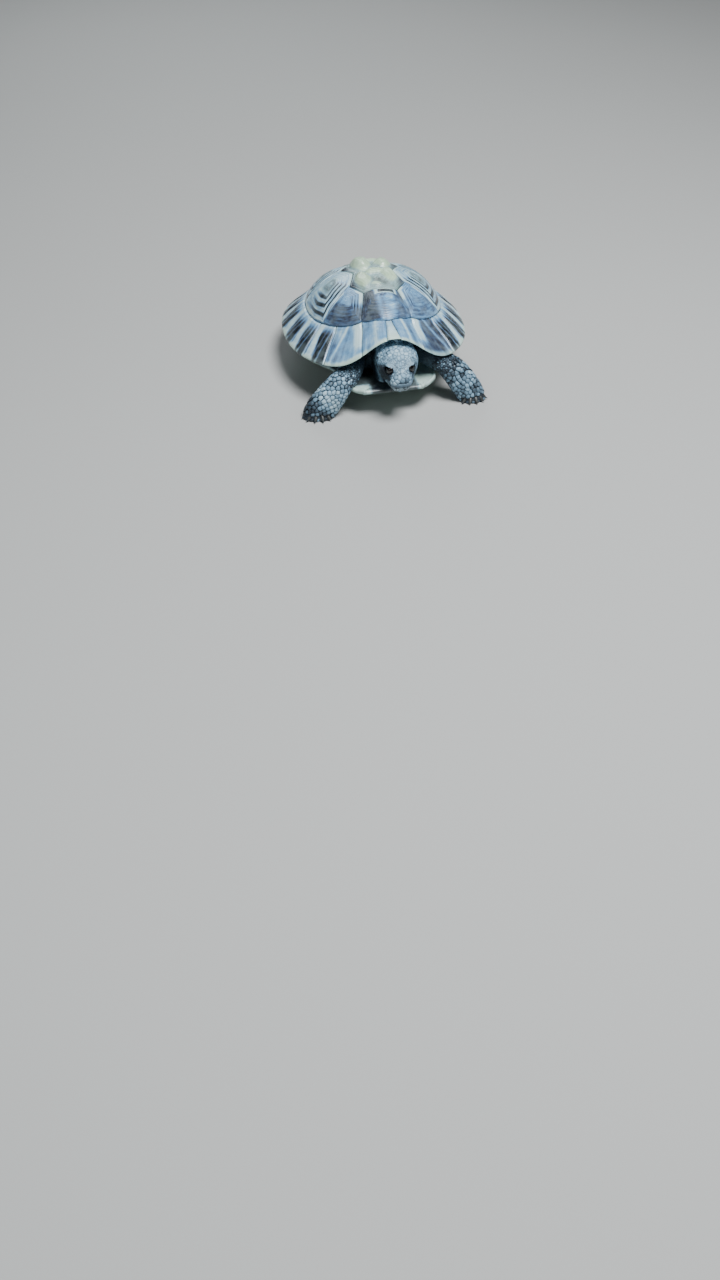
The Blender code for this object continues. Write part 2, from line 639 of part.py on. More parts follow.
def build_limbs(skin, collection, cutters, trims):
    """Build the four limbs."""
    front_plane = ((0.0, TRUNK_FRONT - GAP, 0.0), (0.0, 1.0, 0.0))
    rear_plane = ((0.0, TRUNK_REAR + GAP, 0.0), (0.0, -1.0, 0.0))
    fore = ("upper_arm", "forearm", "foot")
    hind = ("thigh", "shank", "foot")
    shared = (skin, (collection, cutters), trims)
    build_limb("front_left", fore, FORE_LEFT, front_plane, FORE_CUTS, FORE_CLAW_FAN, 12.0, *shared)
    build_limb("front_right", fore, FORE_RIGHT, front_plane, FORE_CUTS, FORE_CLAW_FAN, -22.0, *shared)
    build_limb("hind_left", hind, HIND_LEFT, rear_plane, HIND_CUTS, HIND_CLAW_FAN, 40.0, *shared)
    build_limb("hind_right", hind, HIND_RIGHT, rear_plane, HIND_CUTS, HIND_CLAW_FAN, -40.0, *shared)


def build_neck(skin, collection, cutters, trims):
    """Build the neck between the trunk's front face and the back of the head, with the throat under it."""
    first = (HEAD_SECTIONS[0][0] - GAP, *HEAD_SECTIONS[0][1:])
    rings = [section_ring(s, Vector((0.0, -1.0, 0.0)), HEAD_SIDES) for s in NECK]
    bm = bmesh.new()
    last = head_ring(first)
    turned = [min(ring, key=lambda p: (p - last[0]).length) for ring in rings]
    aligned = []
    for ring, start in zip(rings, turned):
        at = ring.index(start)
        forwards = ring[at:] + ring[:at]
        backwards = [forwards[0]] + forwards[:0:-1]
        aligned.append(min((forwards, backwards), key=lambda r: (r[5] - last[5]).length))
    bridge_rings(bm, aligned + [last])
    keep_side(bm, (0.0, TRUNK_FRONT - GAP, 0.0), (0.0, 1.0, 0.0))
    neck = new_object("neck", bm, skin, collection)
    throat = tube_bmesh(THROAT)
    keep_side(throat, (0.0, TRUNK_FRONT - GAP, 0.0), (0.0, 1.0, 0.0))
    add_boolean(neck, as_cutter(new_object("throat", throat, skin, cutters)), "UNION")
    for trim in trims:
        add_boolean(neck, trim, "DIFFERENCE")


def build_tail(skin, collection, trims):
    """Build the short tail."""
    bm = tube_bmesh(TAIL)
    keep_side(bm, (0.0, TRUNK_REAR + GAP, 0.0), (0.0, -1.0, 0.0))
    tail = new_object("tail", bm, skin, collection)
    for trim in trims:
        add_boolean(tail, trim, "DIFFERENCE")


def main():
    """Build the tortoise."""
    clear_scene()
    body = bpy.data.collections.new("tortoise")
    cutters = bpy.data.collections.new("cutters")
    for group in (body, cutters):
        bpy.context.scene.collection.children.link(group)
    horn = material("horn", HORN_PALE, 0.35)
    skin = material("skin", SKIN_GREY, 0.6)
    eye = material("eye", EYE_BLACK, 0.08)
    build_marginals(horn, body)
    build_vertebrals(horn, body)
    build_costals(horn, body)
    build_trunk(skin, body)
    new_object("plastron", plastron_bmesh(0.0), horn, body)
    plastron_space = new_object("cut_plastron", plastron_bmesh(GAP), horn, cutters)
    trims = [shell_envelope(horn, cutters), as_cutter(plastron_space)]
    build_head(skin, eye, body, cutters)
    build_neck(skin, body, cutters, trims)
    build_tail(skin, body, trims[1:])
    build_limbs(skin, body, cutters, trims)
    for item in list(body.objects) + list(cutters.objects):
        item.data.transform(Matrix.Translation(-FOOTPRINT_MIDDLE))


main()
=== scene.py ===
"""A young tortoise, dressed: horn plates, one scaly skin, claws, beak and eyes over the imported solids."""

import logging
import math
from dataclasses import dataclass, field
from enum import Enum, IntEnum
from typing import Callable, Dict, List, Optional, Sequence, Tuple

import bmesh
import bpy
import numpy as np
from mathutils import Matrix, Vector, kdtree, noise
from mathutils.bvhtree import BVHTree


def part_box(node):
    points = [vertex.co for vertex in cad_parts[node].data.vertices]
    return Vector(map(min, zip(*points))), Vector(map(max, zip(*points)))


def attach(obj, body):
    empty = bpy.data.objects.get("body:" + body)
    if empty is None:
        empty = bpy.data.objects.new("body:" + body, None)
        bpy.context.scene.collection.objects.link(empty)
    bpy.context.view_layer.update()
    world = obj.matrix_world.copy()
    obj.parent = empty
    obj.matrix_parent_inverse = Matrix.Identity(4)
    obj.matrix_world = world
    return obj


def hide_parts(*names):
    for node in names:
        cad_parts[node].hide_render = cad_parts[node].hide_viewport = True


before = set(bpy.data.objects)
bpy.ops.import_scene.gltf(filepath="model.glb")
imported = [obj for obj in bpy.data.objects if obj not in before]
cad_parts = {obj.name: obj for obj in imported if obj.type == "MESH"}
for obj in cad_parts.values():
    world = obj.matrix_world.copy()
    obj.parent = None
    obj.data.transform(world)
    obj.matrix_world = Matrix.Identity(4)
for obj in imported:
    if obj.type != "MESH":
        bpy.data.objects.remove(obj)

log = logging.getLogger("tortoise")

Array = np.ndarray
Socket = bpy.types.NodeSocket
Node = bpy.types.Node
Material = bpy.types.Material
Piece = bpy.types.Object
Shape = bmesh.types.BMesh
Triple = Tuple[float, float, float]
Colour = Triple

# The plans below are drawn about the shell's own middle, and the row frame's origin lies this far from it.
MIDDLE = Vector((0.00194, -0.00344, 0.0))
LIFT_OFF_GROUND = 0.0001
SIDES = (("left", 1), ("right", -1))


class Slot(Enum):
    """The record's material slots."""

    HORN = "horn"
    SKIN = "skin"
    EYE = "eye"


# --------------------------------------------------------------------------- small helpers


def ramp01(value: Array, low: float, high: float) -> Array:
    """Return a smooth step from 0 at low to 1 at high, which may lie below low."""
    t = np.clip((value - low) / (high - low), 0.0, 1.0)
    return t * t * (3 - 2 * t)


def bump01(value: Array, middle: float, half: float) -> Array:
    """Return a bell that is 1 at the middle and falls to about a third at a half width from it."""
    return np.exp(-(((value - middle) / half) ** 2))


def cloud(points: Array, scale: float, offset: float = 0.0) -> Array:
    """Return smooth noise from -1 to 1 at rows of coordinates, moved by the offset."""
    shift = Vector((offset, offset * 0.7, -offset))
    return np.array([noise.noise(Vector(p) * scale + shift) for p in points])


def flat_cloud(x: Array, y: Array, scale: float, offset: float, level: float = 0.0) -> Array:
    """Return smooth noise from -1 to 1 at points of a plane that lies at a level of the noise."""
    return cloud(np.column_stack([x, y, y * 0 + level]), scale, offset)


def vertex_places(bm: Shape) -> Array:
    """Return the places of a bmesh's vertices as rows."""
    return np.array([tuple(v.co) for v in bm.verts])


def face_places(bm: Shape) -> Array:
    """Return the middles of a bmesh's faces as rows."""
    return np.array([tuple(f.calc_center_median()) for f in bm.faces])


def grid(columns: int, rows: int) -> Tuple[Shape, Array, Array]:
    """Start a bmesh from a flat grid.

    Args:
        columns: Faces across it.
        rows: Faces along it.

    Returns:
        The bmesh, and how far across and along it each vertex lies, from 0 to 1.
    """
    bm = bmesh.new()
    bmesh.ops.create_grid(bm, x_segments=columns, y_segments=rows, size=0.5)
    across, along, _ = vertex_places(bm).T + 0.5
    return bm, across, along


def mark(bm: Shape, name: str, values: Array) -> None:
    """Keep a number for each vertex in a layer that the material reads."""
    layer = bm.verts.layers.float.new(name)
    for vertex, value in zip(bm.verts, values):
        vertex[layer] = float(value)


def marked(bm: Shape, name: str) -> Array:
    """Return the numbers that a layer keeps for the vertices."""
    layer = bm.verts.layers.float[name]
    return np.array([v[layer] for v in bm.verts])


def face_out(bm: Shape, merge: float = 0.0) -> None:
    """Turn every face outward, once vertices closer than merge are joined."""
    if merge:
        bmesh.ops.remove_doubles(bm, verts=bm.verts, dist=merge)
    bmesh.ops.recalc_face_normals(bm, faces=bm.faces)


def smooth(bm: Shape, verts: Sequence[bmesh.types.BMVert]) -> None:
    """Move vertices halfway to the middle of their neighbours."""
    bmesh.ops.smooth_vert(bm, verts=verts, factor=0.5, use_axis_x=True, use_axis_y=True, use_axis_z=True)


def settle(name: str, bm: Shape, finish: Material, stands_for: Sequence[str] = ()) -> Piece:
    """Turn a finished bmesh into a piece that rides with the body.

    Args:
        name: The piece's name.
        bm: Its shape, in the row frame; it is freed.
        finish: Its material.
        stands_for: CAD nodes that it stands for.

    Returns:
        The new piece.
    """
    mesh = bpy.data.meshes.new(name)
    bm.to_mesh(mesh)
    bm.free()
    mesh.shade_smooth()
    mesh.materials.append(finish)
    piece = bpy.data.objects.new(name, mesh)
    bpy.context.scene.collection.objects.link(piece)
    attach(piece, "root")
    if stands_for:
        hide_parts(*stands_for)
    return piece


# --------------------------------------------------------------------------- shader sketching


class Sketch:
    """Adds nodes to one node tree and links them as they are made."""

    def __init__(self, tree: bpy.types.NodeTree) -> None:
        """Start on a tree."""
        self.tree = tree

    def fill(self, node: Node, values: Dict[object, object]) -> None:
        """Set a node's inputs.

        Args:
            node: The node.
            values: Input name or number to a constant or to another node's socket.
        """
        for key, value in values.items():
            if isinstance(value, Socket):
                self.tree.links.new(value, node.inputs[key])
            else:
                node.inputs[key].default_value = value

    def put(self, kind: str, values: Dict[object, object], **settings: object) -> Node:
        """Add a node.

        Args:
            kind: The node's type.
            values: Input name or number to a constant or to another node's socket.
            settings: Properties of the node itself.

        Returns:
            The node.
        """
        made = self.tree.nodes.new(kind)
        for key, value in settings.items():
            setattr(made, key, value)
        self.fill(made, values)
        return made

    def add(self, a: object, b: object, clamp: bool = False) -> Socket:
        """Return the sum of two values."""
        return self.put("ShaderNodeMath", {0: a, 1: b}, operation="ADD", use_clamp=clamp).outputs[0]

    def times(self, a: object, b: object) -> Socket:
        """Return the product of two values."""
        return self.put("ShaderNodeMath", {0: a, 1: b}, operation="MULTIPLY").outputs[0]

    def swing(self, texture: object, share: float) -> Socket:
        """Return a texture's value as a swing about zero, as large as the share."""
        return self.times(self.add(texture, -0.5), share)

    def mix(self, share: object, a: object, b: object) -> Socket:
        """Return two colours mixed, with a share from 0 to 1 of the second."""
        values = {0: share, 6: self.colour(a), 7: self.colour(b)}
        return self.put("ShaderNodeMix", values, data_type="RGBA").outputs[2]

    @staticmethod
    def colour(value: object) -> object:
        """Give a plain colour its fourth number."""
        return (*value, 1.0) if isinstance(value, tuple) and len(value) == 3 else value

    def noise(self, place: object, scale: float, detail: float = 3.0, rough: float = 0.6) -> Socket:
        """Return the value of a noise texture that reads a place."""
        values = {"Vector": place, "Scale": scale, "Detail": detail, "Roughness": rough}
        return self.put("ShaderNodeTexNoise", values).outputs[0]

    def remap(self, value: object, low: float, high: float, to_low: float = 0.0,
              to_high: float = 1.0) -> Socket:
        """Return a value moved smoothly from one range to another, clamped."""
        values = {"Value": value, "From Min": low, "From Max": high, "To Min": to_low, "To Max": to_high}
        return self.put("ShaderNodeMapRange", values, interpolation_type="SMOOTHSTEP").outputs[0]

    def ramp(self, value: object, stops: Sequence[Tuple[float, Colour]]) -> Socket:
        """Return a colour ramp's colour.

        Args:
            value: The socket that it reads.
            stops: Place and colour of each stop, the two ends first.

        Returns:
            The colour's socket.
        """
        made = self.put("ShaderNodeValToRGB", {0: value})
        marks = made.color_ramp.elements
        for index, (at, colour) in enumerate(stops):
            stop = marks[index] if index < 2 else marks.new(at)
            stop.position = at
            stop.color = (*colour, 1.0)
        return made.outputs[0]

    def group(self, name: str, values: Dict[object, object]) -> Node:
        """Place a shared effect."""
        return self.put("ShaderNodeGroup", values, node_tree=bpy.data.node_groups[name])

    def attribute(self, name: str) -> Socket:
        """Return a mesh attribute's number."""
        return self.put("ShaderNodeAttribute", {}, attribute_name=name).outputs["Fac"]

    def object_place(self) -> Socket:
        """Return the object's own coordinates."""
        return self.put("ShaderNodeTexCoord", {}).outputs["Object"]

    def raise_surface(self, shader: Node, height: object, distance: float) -> None:
        """Link a height to a shader through a Bump node; the distance is in metres for a height of 1."""
        values = {"Height": height, "Distance": distance, "Strength": 1.0}
        self.fill(shader, {"Normal": self.put("ShaderNodeBump", values).outputs[0]})


def new_group(name: str, outputs: Sequence[str]) -> Tuple[Sketch, Node, Node]:
    """Start a shared effect that takes coordinates and a scale.

    Args:
        name: The group's name.
        outputs: The name of each value that it puts out.

    Returns:
        A sketch on the group, its input node and its output node.
    """
    tree = bpy.data.node_groups.new(name, "ShaderNodeTree")
    tree.interface.new_socket(name="Vector", in_out="INPUT", socket_type="NodeSocketVector")
    tree.interface.new_socket(name="Scale", in_out="INPUT", socket_type="NodeSocketFloat")
    for label in outputs:
        tree.interface.new_socket(name=label, in_out="OUTPUT", socket_type="NodeSocketFloat")
    return Sketch(tree), tree.nodes.new("NodeGroupInput"), tree.nodes.new("NodeGroupOutput")


@dataclass(frozen=True)
class SharedEffects:
    """The shader groups that several finishes use."""

    pit_scale: float = 2.0
    wear_scale: float = 0.22
    wear_range: Tuple[float, float] = (0.35, 0.68)
    wander_scale: float = 260.0
    wander_reach: float = 0.0012
    pebble_edge: float = 0.32
    crease_edge: float = 0.16

    def grain(self) -> None:
        """Make the group for fine grain: small pits and scratches as a height, and an uneven polish."""
        sketch, given, out = new_group("fine_grain", ("Height", "Wear"))
        place = sketch.put("ShaderNodeVectorMath", {0: given.outputs[0], "Scale": given.outputs[1]},
                           operation="SCALE").outputs[0]
        broad = sketch.noise(place, self.wear_scale, 2.0, 0.55)
        sketch.fill(out, {0: sketch.noise(place, self.pit_scale, 4.0),
                          1: sketch.remap(broad, *self.wear_range)})

    def pebbles(self) -> None:
        """Make the group for pebbled skin: rounded cells with fine creases between them."""
        sketch, given, out = new_group("pebbled_skin", ("Height", "Crease"))
        wander = sketch.times(sketch.noise(given.outputs[0], self.wander_scale, 2.0, 0.55),
                              self.wander_reach)
        moved = sketch.put("ShaderNodeVectorMath", {0: given.outputs[0], 1: wander},
                           operation="ADD").outputs[0]
        edge = sketch.put("ShaderNodeTexVoronoi", {"Vector": moved, "Scale": given.outputs[1]},
                          feature="DISTANCE_TO_EDGE").outputs[0]
        sketch.fill(out, {0: sketch.remap(edge, 0.0, self.pebble_edge),
                          1: sketch.remap(edge, 0.0, self.crease_edge, 1.0, 0.0)})

    def build(self) -> None:
        """Make every shared group."""
        self.grain()
        self.pebbles()


def new_material(name: str) -> Tuple[Sketch, Node, Material]:
    """Start a material.

    Args:
        name: Its name.

    Returns:
        A sketch on its tree, its Principled shader and the material.
    """
    made = bpy.data.materials.new(name)
    made.use_nodes = True
    return Sketch(made.node_tree), made.node_tree.nodes["Principled BSDF"], made


# --------------------------------------------------------------------------- finishes


@dataclass(frozen=True)
class HornFinish:
    """Shell horn: pale ground, blue-grey to black markings whose blue is partly painted sky reflection,
    cream on the raised scutes, and a waxy gloss.
    """

    name: str = "shell_horn"
    pale: Colour = (0.52, 0.70, 0.73)
    cream: Colour = (0.48, 0.64, 0.44)
    # The blue of mist and slate is partly painted reflection of a bluish sky on the glossy horn.
    mist: Colour = (0.150, 0.330, 0.540)
    slate: Colour = (0.066, 0.118, 0.215)
    dusk: Colour = (0.040, 0.047, 0.072)
    black: Colour = (0.007, 0.010, 0.014)
    roughness: float = 0.34
    coat: Tuple[float, float] = (0.25, 0.22)
    streak_share: float = 0.62
    blot_scale: float = 330.0
    blot_share: float = 0.34
    ring_scale: float = 34.0
    ring_share: float = 0.30
    grain_scale: float = 900.0
    worn_share: float = 0.10
    relief_depth: float = 0.00016

    def build(self) -> Material:
        """Build the finish.

        Returns:
            The material.
        """
        sketch, shader, made = new_material(self.name)
        place = sketch.object_place()
        pigment, cream, growth = (sketch.attribute(n) for n in ("pigment", "cream", "growth"))
        along = sketch.put("ShaderNodeAttribute", {}, attribute_name="streak").outputs["Vector"]
        streak = sketch.noise(along, 1.0)
        blot = sketch.noise(place, self.blot_scale)
        rings = sketch.put("ShaderNodeCombineXYZ", {0: sketch.times(growth, self.ring_scale)}).outputs[0]
        ring = sketch.noise(rings, 1.0, 2.0)
        uneven = sketch.add(sketch.swing(streak, self.streak_share), sketch.swing(blot, self.blot_share))
        depth = sketch.add(pigment, sketch.add(uneven, sketch.swing(ring, self.ring_share)), clamp=True)
        horn = sketch.ramp(depth, [(0.06, self.pale), (0.94, self.black), (0.32, self.mist),
                                   (0.54, self.slate), (0.74, self.dusk)])
        warm = sketch.mix(cream, horn, sketch.mix(depth, self.cream, self.dusk))
        wear = sketch.group("fine_grain", {"Vector": place, "Scale": self.grain_scale})
        colour = sketch.mix(sketch.times(wear.outputs["Wear"], self.worn_share), warm, self.pale)
        rough = sketch.remap(wear.outputs["Wear"], 0.0, 1.0, self.roughness - 0.06, self.roughness + 0.12)
        sketch.fill(shader, {"Base Color": colour, "Roughness": rough, "Coat Weight": self.coat[0],
                             "Coat Roughness": self.coat[1]})
        relief = sketch.add(sketch.times(ring, 0.7), sketch.times(wear.outputs["Height"], 0.25))
        sketch.raise_surface(shader, sketch.add(relief, sketch.times(streak, 0.35)), self.relief_depth)
        return made


@dataclass(frozen=True)
class SkinFinish:
    """Dry skin and its scales: slate skin, pale scale tops and dark patches carried by one attribute."""

    name: str
    dark: Colour = (0.004, 0.011, 0.020)
    middle: Colour = (0.050, 0.082, 0.114)
    pale: Colour = (0.220, 0.375, 0.505)
    white: Colour = (0.47, 0.66, 0.77)
    roughness: float = 0.55
    pebble_scale: float = 1150.0
    pebble_height: float = 0.00016
    crease_share: float = 0.62
    grain_scale: float = 1300.0
    patch_scale: float = 420.0
    patch_share: float = 0.30
    glow: float = 0.05
    glow_depth: float = 0.0006

    def build(self) -> Material:
        """Build the finish.

        Returns:
            The material.
        """
        sketch, shader, made = new_material(self.name)
        place = sketch.object_place()
        pebbles = sketch.group("pebbled_skin", {"Vector": place, "Scale": self.pebble_scale})
        grain = sketch.group("fine_grain", {"Vector": place, "Scale": self.grain_scale})
        patch = sketch.swing(sketch.noise(place, self.patch_scale), self.patch_share)
        shade = sketch.add(sketch.attribute("tone"), patch, clamp=True)
        colour = sketch.ramp(shade, [(0.0, self.dark), (1.0, self.white), (0.33, self.middle),
                                     (0.68, self.pale)])
        colour = sketch.mix(sketch.times(pebbles.outputs["Crease"], self.crease_share), colour, self.dark)
        rough = sketch.remap(grain.outputs["Wear"], 0.0, 1.0, self.roughness - 0.08, self.roughness + 0.10)
        sketch.fill(shader, {"Base Color": colour, "Roughness": rough, "Subsurface Weight": self.glow,
                             "Subsurface Radius": (self.glow_depth,) * 3})
        height = sketch.add(sketch.times(pebbles.outputs["Height"], 0.8),
                            sketch.times(grain.outputs["Height"], 0.3))
        sketch.raise_surface(shader, height, self.pebble_height)
        return made


@dataclass(frozen=True)
class ClawFinish:
    """Claw and beak horn, one colour at the root and another at the tip, with blots and fine grain."""

    name: str
    root: Colour
    tip: Colour
    roughness: float = 0.38
    blotch: float = 0.5
    blotch_scale: float = 780.0
    grain_scale: float = 1600.0
    grain_depth: float = 0.00006

    def build(self) -> Material:
        """Build the finish.

        Returns:
            The material.
        """
        sketch, shader, made = new_material(self.name)
        place = sketch.object_place()
        grain = sketch.group("fine_grain", {"Vector": place, "Scale": self.grain_scale})
        blot = sketch.swing(sketch.noise(place, self.blotch_scale, 2.0, 0.55), self.blotch)
        reach = sketch.add(sketch.attribute("along"), blot, clamp=True)
        rough = sketch.remap(grain.outputs["Wear"], 0.0, 1.0, self.roughness - 0.08, self.roughness + 0.12)
        sketch.fill(shader, {"Base Color": sketch.mix(reach, self.root, self.tip), "Roughness": rough})
        sketch.raise_surface(shader, grain.outputs["Height"], self.grain_depth)
        return made


@dataclass(frozen=True)
class EyeFinish:
    """A wet dark eye: a nearly black iris round a black pupil, with a paler rim."""

    name: str = "wet_eye"
    iris: Colour = (0.0030, 0.0030, 0.0034)
    fleck: Colour = (0.007, 0.006, 0.006)
    rim: Colour = (0.012, 0.012, 0.014)
    pupil: Colour = (0.001, 0.001, 0.0015)
    pupil_edge: Tuple[float, float] = (0.42, 0.50)
    rim_edge: Tuple[float, float] = (0.74, 0.86)
    fleck_scale: float = 2600.0
    roughness: float = 0.06
    coat: Tuple[float, float] = (0.35, 0.03)

    def build(self) -> Material:
        """Build the finish.

        Returns:
            The material.
        """
        sketch, shader, made = new_material(self.name)
        radius = sketch.attribute("off_axis")
        fleck = sketch.noise(sketch.object_place(), self.fleck_scale, 2.0, 0.55)
        iris = sketch.mix(sketch.times(fleck, 0.6), self.iris, self.fleck)
        colour = sketch.mix(sketch.remap(radius, *self.pupil_edge), self.pupil, iris)
        colour = sketch.mix(sketch.remap(radius, *self.rim_edge), colour, self.rim)
        sketch.fill(shader, {"Base Color": colour, "Roughness": self.roughness, "Coat Weight": self.coat[0],
                             "Coat Roughness": self.coat[1]})
        return made


@dataclass(frozen=True)
class FloorFinish:
    """A plain pale studio floor with a barely uneven surface."""

    name: str = "studio_floor"
    colour: Colour = (0.43, 0.43, 0.42)
    worn: Colour = (0.35, 0.35, 0.35)
    roughness: float = 0.85

    def build(self) -> Material:
        """Build the finish.

        Returns:
            The material.
        """
        sketch, shader, made = new_material(self.name)
        grain = sketch.group("fine_grain", {"Vector": sketch.object_place(), "Scale": 12.0})
        tint = sketch.mix(sketch.times(grain.outputs["Wear"], 0.06), self.colour, self.worn)
        sketch.fill(shader, {"Base Color": tint, "Roughness": self.roughness})
        return made


# --------------------------------------------------------------------------- the shell's surface


@dataclass(frozen=True)
class ShellForm:
    """The shell's surface over an unrolled disc: rho runs from 0 at the crown to 1, theta is 0 in front."""

    width: float = 0.098
    length: float = 0.1118
    crown_height: float = 0.0485
    rim_height: float = 0.0191
    nuchal_height: float = 0.0369
    arch_angle: float = math.radians(21.2)
    front_rise: float = 0.0029
    notch_depth: float = 0.045
    notch_angle: float = math.radians(20.0)
    notch_start: float = 0.4
    squareness: float = 0.883
    front_taper: float = 0.05
    dome_rho: float = 0.75
    dome_side: float = 0.729
    dome_front: float = 0.701
    dome_angle: float = math.radians(71.3)
    brim_rise: float = 0.3865
    rim_follow: float = 0.55
    tilt: float = math.radians(4.0)
    pivot: Triple = (0.0, 0.030, 0.018)
    softening: float = 0.026
    normal_step: float = 0.004

    def level(self, rho: Array, theta: Array) -> Array:
        """Return points of the surface before it is tilted.

        Args:
            rho: Radii on the disc.
            theta: Angles on the disc.

        Returns:
            One row for each point.
        """
        sin, cos = np.sin(theta), np.cos(theta)
        near_rim = np.maximum((rho - self.notch_start) / (1 - self.notch_start), 0.0)
        notch = self.notch_depth * bump01(theta, 0.0, self.notch_angle) * near_rim
        side = np.sign(sin) * np.abs(sin) ** self.squareness
        fore = np.sign(cos) * np.abs(cos) ** self.squareness
        rim_x = self.width / 2 * side * (1 - self.front_taper * cos)
        rim_y = -self.length / 2 * fore * (1 - notch)
        front = self.front_rise * np.maximum(cos, 0.0) ** 1.5
        arch = (self.nuchal_height - self.front_rise - self.rim_height) * bump01(theta, 0.0, self.arch_angle)
        rim_z = self.rim_height + front + arch
        dome = self.dome_side + (self.dome_front - self.dome_side) * cos**2
        border_z = (self.rim_height + self.brim_rise * (self.crown_height - self.rim_height)
                    + self.rim_follow * (rim_z - self.rim_height))
        turn = np.minimum(rho / self.dome_rho, 1.0) * self.dome_angle
        inner_reach = dome * np.sin(turn) / math.sin(self.dome_angle)
        lift = (np.cos(turn) - math.cos(self.dome_angle)) / (1 - math.cos(self.dome_angle))
        along = np.maximum((rho - self.dome_rho) / (1 - self.dome_rho), 0.0)
        inside = rho <= self.dome_rho
        reach = np.where(inside, inner_reach, dome + (1 - dome) * along)
        height = np.where(inside, border_z + (self.crown_height - border_z) * lift,
                          border_z + (rim_z - border_z) * along)
        return np.stack([rim_x * reach, rim_y * reach, height], axis=1)

    def bare(self, disc: Array) -> Array:
        """Return the tilted surface's points, with the crease between dome and brim softened.

        Args:
            disc: Rows of (u, v) on the disc.

        Returns:
            Points in the row frame.
        """
        rho = np.hypot(disc[:, 0], disc[:, 1])
        theta = np.arctan2(disc[:, 0], -disc[:, 1])
        soft = np.minimum(self.softening, rho)
        return self.tilted(sum(self.level(rho + soft * shift, theta) for shift in (-1.0, 0.0, 1.0)) / 3)

    def tilted(self, level: Array) -> Array:
        """Return level points tilted about the pivot.

        Args:
            level: Points about the shell's own middle.

        Returns:
            Points in the row frame.
        """
        offset = level - np.array(self.pivot)
        cos, sin = math.cos(self.tilt), math.sin(self.tilt)
        turned = np.stack([offset[:, 0], offset[:, 1] * cos + offset[:, 2] * sin,
                           -offset[:, 1] * sin + offset[:, 2] * cos], axis=1)
        return turned + np.array(self.pivot) - np.array(MIDDLE)

    def point(self, disc: Array, lift: object = 0.0) -> Array:
        """Return surface points raised along the outward normal.

        Args:
            disc: Rows of (u, v) on the disc.
            lift: A height for all points, or one for each.

        Returns:
            Points in the row frame.
        """
        step = self.normal_step
        along_u = self.bare(disc + [step, 0.0]) - self.bare(disc - [step, 0.0])
        along_v = self.bare(disc + [0.0, step]) - self.bare(disc - [0.0, step])
        outward = np.cross(along_u, along_v)
        outward /= np.linalg.norm(outward, axis=1)[:, None]
        return self.bare(disc) + outward * np.reshape(lift, (-1, 1))


SHELL = ShellForm()


def polar(theta: float, rho: float) -> Vector:
    """Return the disc's point at an angle in degrees and a radius."""
    angle = math.radians(theta)
    return Vector((rho * math.sin(angle), -rho * math.cos(angle)))


